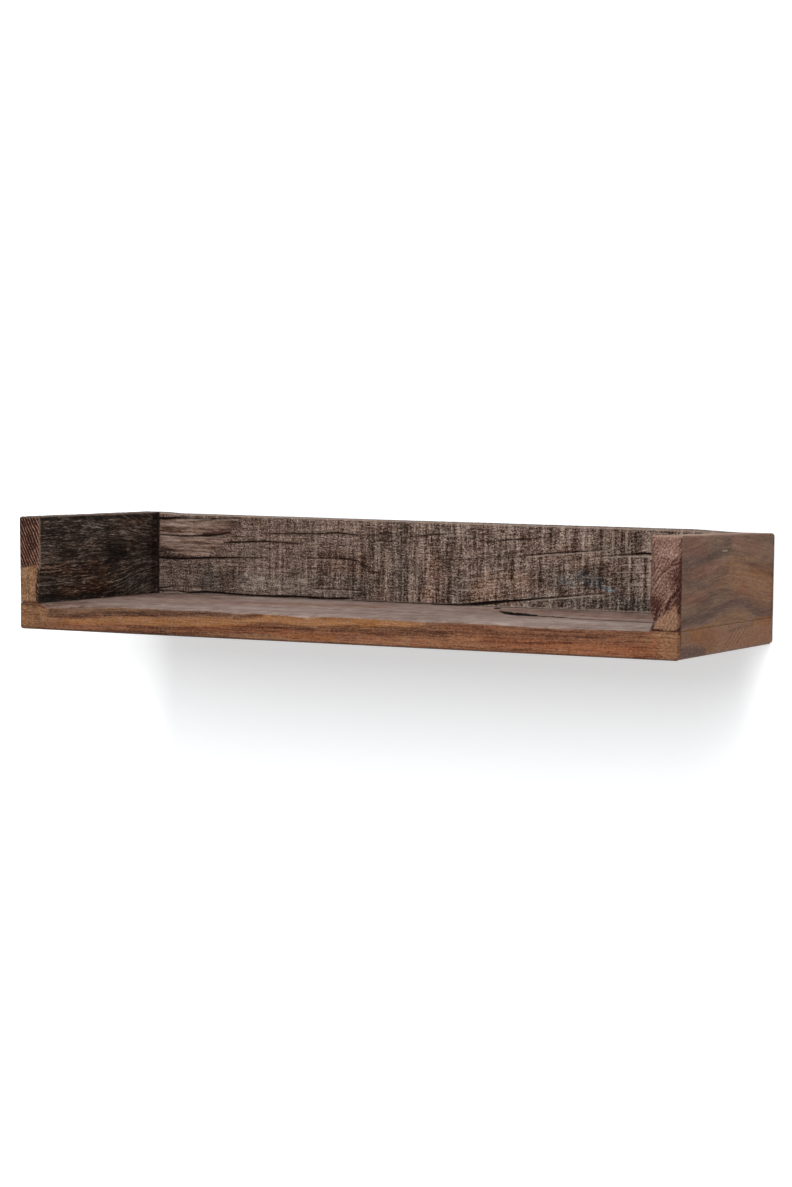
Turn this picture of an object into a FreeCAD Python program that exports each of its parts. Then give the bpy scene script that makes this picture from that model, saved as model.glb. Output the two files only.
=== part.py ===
"""Floating wall shelf of reclaimed boards: an open tray hung on two keyhole plates.

Millimetres, +Z up, +X to the right of someone who faces the shelf, +Y into the wall.
The origin lies on the wall plane, midway between the entry holes of the two keyhole plates.
"""
import FreeCAD, Part
import math
import os

from FreeCAD import Vector

# Boards
SHELF_WIDTH = 700.0
SHELF_DEPTH = 230.0
BASE_THICKNESS = 26.0
LEFT_END_THICKNESS = 25.0
RIGHT_END_THICKNESS = 29.5
BACK_THICKNESS = 18.0
LEFT_END_HEIGHT = 85.0       # above the base, at the front
LEFT_END_REAR_DROP = 0.5     # how much lower the hand-cut top is at the wall
LEFT_END_LEAN = 1.8          # how far the top leans outwards
RIGHT_END_HEIGHT = 84.0
RIGHT_END_REAR_DROP = 4.5
RIGHT_END_LEAN = 0.5
BACK_LEFT_DROP = 1.5         # how much lower the back board is than the front of each end board
BACK_RIGHT_DROP = 2.5
BOARD_EDGE_ROUND = 2.0       # worn arrises
MOST_ROUND_SHARE = 1 / 3     # of a board's thickness, where an arris would be larger

# Countersunk screws that come up through the base
SCREW_THREAD_RADIUS = 2.25
SCREW_CORE_RADIUS = 1.5
SCREW_HEAD_RADIUS = 4.4
SCREW_THREAD_PITCH = 2.4
SCREW_TIP_LENGTH = 5.0
END_SCREW_LENGTH = 60.0
BACK_SCREW_LENGTH = 55.0
END_SCREW_INSET = 40.0       # from the front and rear edges of an end board
BACK_SCREW_INSET = 60.0      # from the inner face of each end board
SCREW_HEAD_SINK = 0.6        # how far the heads sit in from the underside of the base
SCREW_HOLE_CLEARANCE = 0.1

# Forms that both kinds of screw share
THREAD_FLANK_SHARE = 0.3     # of the pitch, for each flank of a ridge
CROSS_SPAN_SHARE = 0.58      # of the head's radius
CROSS_WIDTH_SHARE = 0.25
CROSS_DEPTH_SHARE = 0.45

# Fluted beech dowels
DOWEL_RADIUS = 4.0
DOWEL_FLUTES = 12
DOWEL_FLUTE_RADIUS = 0.45
DOWEL_CHAMFER = 0.8
DOWEL_GLUE_ROOM = 1.5        # free depth past the far end of a dowel
END_DOWEL_LENGTH = 40.0
END_DOWEL_DEPTH_IN_BASE = 15.0
END_DOWEL_INSET = 85.0       # from the front and rear edges of an end board
BACK_DOWEL_LENGTH = 36.0
BACK_DOWEL_DEPTH_IN_END = 14.0
BACK_DOWEL_LOWER_HEIGHT = 18.0   # above the base
BACK_DOWEL_UPPER_HEIGHT = 62.0

# Keyhole plates let into the rear of the back board
HANGER_INSET = 125.0         # entry holes from the outer face of each end board
HANGER_HEIGHT = 60.0         # and above the underside of the base
PLATE_LENGTH = 50.0
PLATE_WIDTH = 18.0
PLATE_THICKNESS = 2.0
PLATE_FIT_CLEARANCE = 0.25   # round the plate in its recess
ENTRY_RADIUS = 5.0
SLOT_RADIUS = 2.5
SLOT_RUN = 14.0              # from the entry's centre up to the centre of the slot's end
HEAD_POCKET_MARGIN = 1.5     # round the path of the wall screw's head
HEAD_POCKET_DEPTH = 7.0
PLATE_SCREW_INSET = 4.8      # from each end of the plate

# Small countersunk screws that hold the keyhole plates
PLATE_SCREW_THREAD_RADIUS = 1.6
PLATE_SCREW_CORE_RADIUS = 1.05
PLATE_SCREW_HEAD_RADIUS = 3.1
PLATE_SCREW_THREAD_PITCH = 1.4
PLATE_SCREW_TIP_LENGTH = 2.5
PLATE_SCREW_LENGTH = 13.0

# Places that follow from the sizes above
X, Y, Z = Vector(1, 0, 0), Vector(0, 1, 0), Vector(0, 0, 1)
SAME_PLACE = 1e-6
WALL_PLANE = 0.0
FRONT = WALL_PLANE - SHELF_DEPTH
UNDERSIDE = -HANGER_HEIGHT
BASE_TOP = UNDERSIDE + BASE_THICKNESS
HALF_WIDTH = SHELF_WIDTH / 2
END_THICKNESSES = {"left": LEFT_END_THICKNESS, "right": RIGHT_END_THICKNESS}
BACK_MIDDLE = WALL_PLANE - BACK_THICKNESS / 2
HANGER_REACH = HALF_WIDTH - HANGER_INSET
PLATE_MIDDLE = SLOT_RUN / 2  # above the entry holes
SIDES = {"left": -1, "right": 1}
END_SHAPES = {
    "left": (LEFT_END_HEIGHT, LEFT_END_REAR_DROP, LEFT_END_LEAN),
    "right": (RIGHT_END_HEIGHT, RIGHT_END_REAR_DROP, RIGHT_END_LEAN),
}
BACK_HEIGHTS = {"left": LEFT_END_HEIGHT - BACK_LEFT_DROP, "right": RIGHT_END_HEIGHT - BACK_RIGHT_DROP}


class ScrewSize:
    """The sizes of one kind of countersunk wood screw."""

    def __init__(self, length, thread, core, head, pitch, tip):
        self.length = length
        self.thread = thread
        self.core = core
        self.head = head
        self.pitch = pitch
        self.tip = tip

    def head_height(self):
        """Height of the 90 degree cone between the head's rim and the thread."""
        return self.head - self.thread


END_SCREW = ScrewSize(END_SCREW_LENGTH, SCREW_THREAD_RADIUS, SCREW_CORE_RADIUS,
                      SCREW_HEAD_RADIUS, SCREW_THREAD_PITCH, SCREW_TIP_LENGTH)
BACK_SCREW = ScrewSize(BACK_SCREW_LENGTH, SCREW_THREAD_RADIUS, SCREW_CORE_RADIUS,
                       SCREW_HEAD_RADIUS, SCREW_THREAD_PITCH, SCREW_TIP_LENGTH)
PLATE_SCREW = ScrewSize(PLATE_SCREW_LENGTH, PLATE_SCREW_THREAD_RADIUS, PLATE_SCREW_CORE_RADIUS,
                        PLATE_SCREW_HEAD_RADIUS, PLATE_SCREW_THREAD_PITCH, PLATE_SCREW_TIP_LENGTH)


def inner_face(side):
    """How far the inner face of this side's end board lies from the middle, at its foot."""
    return HALF_WIDTH - END_THICKNESSES[side]


def end_middle(side):
    """How far the middle of this side's end board lies from the middle of the shelf."""
    return HALF_WIDTH - END_THICKNESSES[side] / 2


def prism(outline, travel):
    """A closed solid: a flat outline swept along one straight vector."""
    return Part.Face(Part.makePolygon(outline + outline[:1])).extrude(travel)


def revolve(outline):
    """A closed solid: an outline of (radius, height) pairs turned once round +Z."""
    points = [Vector(radius, 0, height) for radius, height in outline]
    face = Part.Face(Part.makePolygon(points + points[:1]))
    return face.revolve(Vector(0, 0, 0), Z, 360)


def stand(shape, place, direction):
    """A copy of a shape made along +Z, laid along a direction and moved to a place."""
    placed = shape.copy()
    placed.Placement = FreeCAD.Placement(place, FreeCAD.Rotation(Z, direction))
    return placed


def lying_at(edge, plane_z):
    """Does this edge lie in the level plane at this height?"""
    return all(abs(vertex.Z - plane_z) < SAME_PLACE for vertex in edge.Vertexes)


def rounded(shape, edges, wall):
    """The shape with these edges rounded, less where its wall is too thin for the full size."""
    return shape.makeFillet(min(BOARD_EDGE_ROUND, wall * MOST_ROUND_SHARE), edges)


# Screws

def screw(size):
    """A countersunk screw along +Z with its head's flat face at the origin."""
    outline = [(0.0, 0.0), (size.head, 0.0), (size.thread, size.head_height())]
    thread_end = size.length - size.tip
    height = size.head_height()
    turns = int((thread_end - height) / size.pitch)
    for _ in range(turns):
        outline.append((size.core, height + size.pitch * THREAD_FLANK_SHARE))
        outline.append((size.core, height + size.pitch * (1 - THREAD_FLANK_SHARE)))
        height += size.pitch
        outline.append((size.thread, height))
    outline.append((size.core, thread_end))
    outline.append((0.0, size.length))
    span = 2 * size.head * CROSS_SPAN_SHARE
    width = size.head * CROSS_WIDTH_SHARE
    depth = size.head * CROSS_DEPTH_SHARE
    across = Part.makeBox(span, width, depth, Vector(-span / 2, -width / 2, 0))
    along = Part.makeBox(width, span, depth, Vector(-width / 2, -span / 2, 0))
    return revolve(outline).cut(across.fuse(along))


def screw_hole(size, sink):
    """The room for a screw whose head sits this far in from the face it entered."""
    bore = size.thread + SCREW_HOLE_CLEARANCE
    rim_to_bore = size.head - bore
    return revolve([
        (0.0, -sink), (size.head, -sink), (size.head, 0.0), (bore, rim_to_bore),
        (bore, size.length - size.tip + bore), (0.0, size.length + bore),
    ])


def base_screw_places():
    """Node name, screw size and place of each screw that comes up through the base."""
    head_plane = UNDERSIDE + SCREW_HEAD_SINK
    ends_y = {"front": FRONT + END_SCREW_INSET, "rear": WALL_PLANE - END_SCREW_INSET}
    for side, sign in SIDES.items():
        for row, y in ends_y.items():
            yield f"{side}_end_screw_{row}", END_SCREW, Vector(sign * end_middle(side), y, head_plane)
    reach = {side: inner_face(side) - BACK_SCREW_INSET for side in SIDES}
    for name, x in (("left", -reach["left"]), ("middle", 0.0), ("right", reach["right"])):
        yield f"back_screw_{name}", BACK_SCREW, Vector(x, BACK_MIDDLE, head_plane)


def plate_screw_places():
    """Node name and place of each small screw that holds a keyhole plate."""
    reach = PLATE_LENGTH / 2 - PLATE_SCREW_INSET
    for side, sign in SIDES.items():
        for row, offset in (("lower", -reach), ("upper", reach)):
            place = Vector(sign * HANGER_REACH, WALL_PLANE, PLATE_MIDDLE + offset)
            yield f"{side}_plate_screw_{row}", place


# Dowels

def dowel(length):
    """A fluted dowel along +Z with its lower end at the origin."""
    inner = DOWEL_RADIUS - DOWEL_CHAMFER
    body = revolve([
        (0.0, 0.0), (inner, 0.0), (DOWEL_RADIUS, DOWEL_CHAMFER),
        (DOWEL_RADIUS, length - DOWEL_CHAMFER), (inner, length), (0.0, length),
    ])
    flutes = []
    for index in range(DOWEL_FLUTES):
        angle = 2 * math.pi * index / DOWEL_FLUTES
        foot = Vector(DOWEL_RADIUS * math.cos(angle), DOWEL_RADIUS * math.sin(angle), 0)
        flutes.append(Part.makeCylinder(DOWEL_FLUTE_RADIUS, length, foot, Z))
    return body.cut(Part.Compound(flutes))


def dowel_hole(length):
    """The hole for a dowel that seats on its lower end, with room for glue past the upper."""
    return Part.makeCylinder(DOWEL_RADIUS, length + DOWEL_GLUE_ROOM)


def dowel_places():
    """Node name, length, place and direction of each dowel."""
    base_seat = BASE_TOP - END_DOWEL_DEPTH_IN_BASE
    rows = {"front": FRONT + END_DOWEL_INSET, "rear": WALL_PLANE - END_DOWEL_INSET}
    heights = {"lower": BACK_DOWEL_LOWER_HEIGHT, "upper": BACK_DOWEL_UPPER_HEIGHT}
    for side, sign in SIDES.items():
        for row, y in rows.items():
            place = Vector(sign * end_middle(side), y, base_seat)
            yield f"{side}_end_dowel_{row}", END_DOWEL_LENGTH, place, Z
        for row, height in heights.items():
            seat = inner_face(side) + BACK_DOWEL_DEPTH_IN_END + end_lean_at(side, height)
            place = Vector(sign * seat, BACK_MIDDLE, BASE_TOP + height)
            yield f"{side}_back_dowel_{row}", BACK_DOWEL_LENGTH, place, X * -sign


# Boards

def end_lean_at(side, height):
    """How far the end board on this side has leaned outwards at a height above the base."""
    full_height, _, lean = END_SHAPES[side]
    return lean * height / full_height


def end_board(side):
    """An end board: it stands on the base, leans outwards and drops towards the wall."""
    sign = SIDES[side]
    height, rear_drop, lean = END_SHAPES[side]
    top = BASE_TOP + height
    inner = inner_face(side)
    faces = ((inner, BASE_TOP), (HALF_WIDTH, BASE_TOP), (HALF_WIDTH + lean, top), (inner + lean, top))
    across = prism([Vector(sign * x, FRONT, z) for x, z in faces], Y * SHELF_DEPTH)
    near = min(inner, inner + lean)
    far = max(HALF_WIDTH, HALF_WIDTH + lean)
    profile = ((FRONT, BASE_TOP), (WALL_PLANE, BASE_TOP), (WALL_PLANE, top - rear_drop), (FRONT, top))
    along = prism([Vector(sign * near, y, z) for y, z in profile], X * sign * (far - near))
    board = across.common(along)
    free_edges = [edge for edge in board.Edges if not lying_at(edge, BASE_TOP)]
    return rounded(board, free_edges, END_THICKNESSES[side])


def back_board():
    """The back board: it stands on the base between the end boards, against the wall."""
    corners = []
    for side in ("left", "right"):
        x = SIDES[side] * inner_face(side)
        height = BACK_HEIGHTS[side]
        top_x = SIDES[side] * (inner_face(side) + end_lean_at(side, height))
        pair = [(x, BASE_TOP), (top_x, BASE_TOP + height)]
        corners += pair if side == "left" else pair[::-1]
    outline = [Vector(x, WALL_PLANE - BACK_THICKNESS, z) for x, z in corners]
    board = prism(outline, Y * BACK_THICKNESS)
    lowest_top = BASE_TOP + min(BACK_HEIGHTS.values())
    top_edges = [edge for edge in board.Edges
                 if min(vertex.Z for vertex in edge.Vertexes) > lowest_top - SAME_PLACE
                 and edge.BoundBox.XLength > edge.BoundBox.YLength]
    return rounded(board, top_edges, BACK_THICKNESS)


def base_board():
    """The base board, under all the others, with its end grain showing at both sides."""
    board = Part.makeBox(SHELF_WIDTH, SHELF_DEPTH, BASE_THICKNESS,
                         Vector(-HALF_WIDTH, FRONT, UNDERSIDE))
    return rounded(board, board.Edges, BASE_THICKNESS)


# Keyhole plates

def upright_slot(radius, low, high, depth, x, y):
    """A round-ended solid that stands along Z, sunk from the plane y by a depth."""
    lower = Part.makeCylinder(radius, depth, Vector(x, y, low), -Y)
    upper = Part.makeCylinder(radius, depth, Vector(x, y, high), -Y)
    middle = Part.makeBox(2 * radius, depth, high - low, Vector(x - radius, y - depth, low))
    return lower.fuse([upper, middle]).removeSplitter()


def plate_outline(x, margin, depth):
    """The plate's own round-ended form, grown by a margin, sunk by a depth."""
    radius = PLATE_WIDTH / 2
    reach = PLATE_LENGTH / 2 - radius
    return upright_slot(radius + margin, PLATE_MIDDLE - reach, PLATE_MIDDLE + reach, depth, x, WALL_PLANE)


def keyhole_plate(side):
    """A keyhole plate: the entry hole is at the origin's height and its slot runs upwards."""
    x = SIDES[side] * HANGER_REACH
    plate = plate_outline(x, 0.0, PLATE_THICKNESS)
    entry = Part.makeCylinder(ENTRY_RADIUS, PLATE_THICKNESS, Vector(x, WALL_PLANE, 0), -Y)
    slot = upright_slot(SLOT_RADIUS, 0.0, SLOT_RUN, PLATE_THICKNESS, x, WALL_PLANE)
    return plate.cut(entry).cut(slot)


def plate_recess(side):
    """The room in the back board for a plate and for the head of the wall screw behind it."""
    x = SIDES[side] * HANGER_REACH
    recess = plate_outline(x, PLATE_FIT_CLEARANCE, PLATE_THICKNESS)
    pocket = upright_slot(ENTRY_RADIUS + HEAD_POCKET_MARGIN, 0.0, SLOT_RUN,
                          PLATE_THICKNESS + HEAD_POCKET_DEPTH, x, WALL_PLANE)
    return recess.fuse(pocket)


def build():
    """Every piece of the shelf, as a solid under its node's name."""
    pieces = {"base_board": base_board(), "back_board": back_board()}
    for side in SIDES:
        pieces[f"{side}_end_board"] = end_board(side)
        pieces[f"{side}_hanger_plate"] = keyhole_plate(side)
        pieces["back_board"] = pieces["back_board"].cut(plate_recess(side))
    boards = ("base_board", "back_board", "left_end_board", "right_end_board")

    for name, size, place in base_screw_places():
        room = stand(screw_hole(size, SCREW_HEAD_SINK), place, Z)
        for board in boards:
            pieces[board] = pieces[board].cut(room)
        pieces[name] = stand(screw(size), place, Z)

    for name, length, place, direction in dowel_places():
        room = stand(dowel_hole(length), place, direction)
        for board in boards:
            pieces[board] = pieces[board].cut(room)
        pieces[name] = stand(dowel(length), place, direction)

    for name, place in plate_screw_places():
        room = stand(screw_hole(PLATE_SCREW, 0.0), place, -Y)
        for holder in ("back_board", "left_hanger_plate", "right_hanger_plate"):
            pieces[holder] = pieces[holder].cut(room)
        pieces[name] = stand(screw(PLATE_SCREW), place, -Y)
    return pieces


def main():
    """Write one STEP file for each piece."""
    os.makedirs("parts", exist_ok=True)
    for name, shape in build().items():
        solids = shape.Solids
        if len(solids) != 1 or not shape.isValid():
            raise ValueError(f"{name} isn't one valid solid")
        solids[0].exportStep(os.path.join("parts", f"{name}.step"))
        print(f"{name}: {solids[0].Volume / 1000:.2f} cm3")


main()
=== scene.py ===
"""Looks of the reclaimed wood wall shelf: weathered boards, sunk screws and keyhole plates.

Every piece is in metres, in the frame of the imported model: +X to the right of someone who
faces the shelf, +Y into the wall, +Z up. Mesh work is done in millimetres and scaled at the end.
"""

import math

import bmesh
import bpy
import numpy as np
from mathutils import Matrix, Vector, noise


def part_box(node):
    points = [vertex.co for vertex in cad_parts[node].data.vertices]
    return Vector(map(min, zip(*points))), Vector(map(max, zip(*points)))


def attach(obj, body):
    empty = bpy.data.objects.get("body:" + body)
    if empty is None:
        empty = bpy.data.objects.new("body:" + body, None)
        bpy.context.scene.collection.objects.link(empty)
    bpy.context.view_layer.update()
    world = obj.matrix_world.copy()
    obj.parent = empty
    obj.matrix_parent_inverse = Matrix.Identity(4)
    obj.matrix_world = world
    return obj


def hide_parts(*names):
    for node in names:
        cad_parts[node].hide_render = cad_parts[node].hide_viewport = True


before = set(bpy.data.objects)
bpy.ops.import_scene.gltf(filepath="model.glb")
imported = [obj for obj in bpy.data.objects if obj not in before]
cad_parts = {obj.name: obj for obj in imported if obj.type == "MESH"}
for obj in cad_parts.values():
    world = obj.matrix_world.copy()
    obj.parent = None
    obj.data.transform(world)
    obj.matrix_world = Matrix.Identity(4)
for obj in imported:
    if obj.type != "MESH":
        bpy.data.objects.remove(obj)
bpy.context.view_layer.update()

bl_info = {
    "name": "Reclaimed wood wall shelf",
    "version": (1, 0, 0),
    "blender": (4, 5, 0),
    "location": "3D View > Sidebar > Shelf",
    "description": "Weathered boards, screws and keyhole plates of a tray-shaped wall shelf, with its stage",
    "category": "Add Mesh",
}

MM = 0.001

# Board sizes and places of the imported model, in millimetres
HALF_WIDTH = 350.0
LEFT_INNER = -325.0
RIGHT_INNER = 320.5
FRONT = -230.0
UNDERSIDE = -60.0
BASE_TOP = -34.0
BACK_FRONT = -18.0
LEFT_END = {"height": 85.0, "rear_drop": 0.5, "lean": 1.8, "rear_corner": 3.0, "outer_corner": 2.4}
RIGHT_END = {"height": 84.0, "rear_drop": 4.5, "lean": 0.5, "rear_corner": 3.0, "outer_corner": 1.4}
BACK_HEIGHTS = (83.5, 81.5)     # at its left and its right
BACK_ARRIS = 2.0

# A board's sides, each as its axis and which end of that axis, and the radii of the base's lower arrises
LEFT, RIGHT, REAR, UNDER, ABOVE = (0, 0), (0, -1), (1, -1), (2, 0), (2, -1)
BASE_CORNERS = {RIGHT: 4.5, LEFT: 2.6, REAR: 4.0}

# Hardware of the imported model
BASE_SCREWS = ("left_end_screw_front", "left_end_screw_rear", "right_end_screw_front",
               "right_end_screw_rear", "back_screw_left", "back_screw_middle", "back_screw_right")
PLATE_SCREWS = ("left_plate_screw_lower", "left_plate_screw_upper",
                "right_plate_screw_lower", "right_plate_screw_upper")
PLATES = ("left_hanger_plate", "right_hanger_plate")
DOWELS = tuple(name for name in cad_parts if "_dowel_" in name)
SCREW_HEAD_HOLE = 4.55          # radii of a base screw's hole, round its head and round its thread
SCREW_THREAD_HOLE = 2.4
SCREW_HEAD_DEPTHS = (2.1, 2.6)  # from the head's face: where the hole narrows, and where it ends
PLATE_RECESS = 9.25             # radius of the round ends of a plate's recess
PLATE_THICKNESS = 2.0
HEAD_POCKET = (7.0, 6.5, 9.0)   # the wall screw head's pocket: middle above the entry, radius, depth


def srgb(red, green, blue):
    """A paint chip's 0 to 255 values as an opaque linear colour."""
    chip = np.array((red, green, blue)) / 255
    linear = np.where(chip <= 0.04045, chip / 12.92, ((chip + 0.055) / 1.055) ** 2.4)
    return (*linear.tolist(), 1.0)


# Strokes: what wear and drying did to each face, with some painted shade and painted highlights among them.
# A stroke is a line of (u, v, half width) points in millimetres on the face, u along the board from its left
# or front edge and v above the base's top.
# Before its line a crack has its depth, and a painted stroke its amount and its softness.

BACK_CRACKS = (
    (2.2, (0, 77, 1.2), (8, 77, 1.3), (15, 77.6, 1), (22, 79, .7), (35, 79, .4), (50, 78.6, .35),
        (70, 79.4, .35), (100, 80.2, .35)),
    (1.6, (0, 60, .6), (20, 60.2, .6), (30, 60, .9), (45, 60.6, .7), (60, 61.6, 1.2), (75, 63.2, .9),
        (88, 66.2, .5)),
    (1.4, (80, 55, .6), (95, 55.4, .7), (112, 56.6, .7), (130, 57.4, .7), (150, 56.9, .5),
        (172, 56.2, .3)),
    (1.8, (0, 36.6, 1), (20, 36.3, 1), (35, 36.8, .9), (60, 38.4, .8), (80, 39, .7), (100, 39.8, .5),
        (133, 40.2, .4)),
    (.9, (178, 41.6, .3), (205, 42.6, .5), (217, 43, .6), (232, 42, .7), (238, 40.6, .5), (246, 35, .3)),
    (1.1, (130, 65.4, .3), (160, 66.3, .6), (190, 67, .6), (214, 68.6, .75), (228, 67.6, .7),
        (238, 67, .5)),
    (.5, (238, 67, .35), (262, 69, .4), (276, 69.4, .35)),
    (.8, (297, 67.2, .4), (315, 69, .55), (328, 70.6, .5), (333, 71, .3)),
    (1.1, (374, 64, .3), (386, 64.6, .4), (400, 66.6, .5), (418, 68.2, .55), (436, 69.6, .45),
        (452, 71, .3)),
    (.6, (405, 53, .4), (414, 54.6, .5)),
    (1.2, (425, 52.4, .4), (440, 54, .6), (455, 55.6, .6), (470, 57, .6), (492, 58.8, .5),
        (512, 60.8, .3)),
    (1.8, (508, 54, .2), (522, 55, .3), (535, 56.8, .45), (548, 58.4, .8), (558, 58, .7), (646, 60, .5)),
    (2.4, (338, 0, .5), (360, .9, .8), (372, 2, 1.1), (382, 3.2, 1.5), (393, 4.6, 1.2), (402, 5.8, .8),
        (416, 7, .7), (432, 9, .6), (446, 10.6, .5), (462, 12.2, .4), (478, 14.2, .3), (492, 16, .3),
        (505, 17.6, .3), (522, 17.8, .3), (540, 17, .2)),
    (.8, (0, 4.6, .8), (6, 5.2, .7), (14, 6.6, .5), (20, 8, .4), (48, 8, .35)),
    (2, (0, 2.4, .9), (10, 3, .5), (25, 2.6, .4), (40, 1.4, .6), (55, 2.6, .8), (75, 2.5, .9),
        (100, 1.5, .8), (130, 1, .8), (150, 1.6, .9), (172, 2, .9), (200, 1.1, .8), (220, 1.9, .9),
        (232, 2.6, .6)),
    (1.2, (232, .4, .5), (300, .2, .4), (338, 0, .5)),
    (.5, (190, 11, .3), (225, 11.4, .35), (242, 10.8, .25)),
    (.4, (330, 45.6, .25), (365, 46.4, .3), (395, 50, .25), (425, 50.4, .25)),
    # The last crack runs up the back board's left end, against the left end board: a dark joint line with
    # painted shade in the joint
    (.4, (480, 42.4, .3), (510, 46.4, .3)), (2, (.4, -2, 1.1), (.4, 90, 1.1))
)

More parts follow.
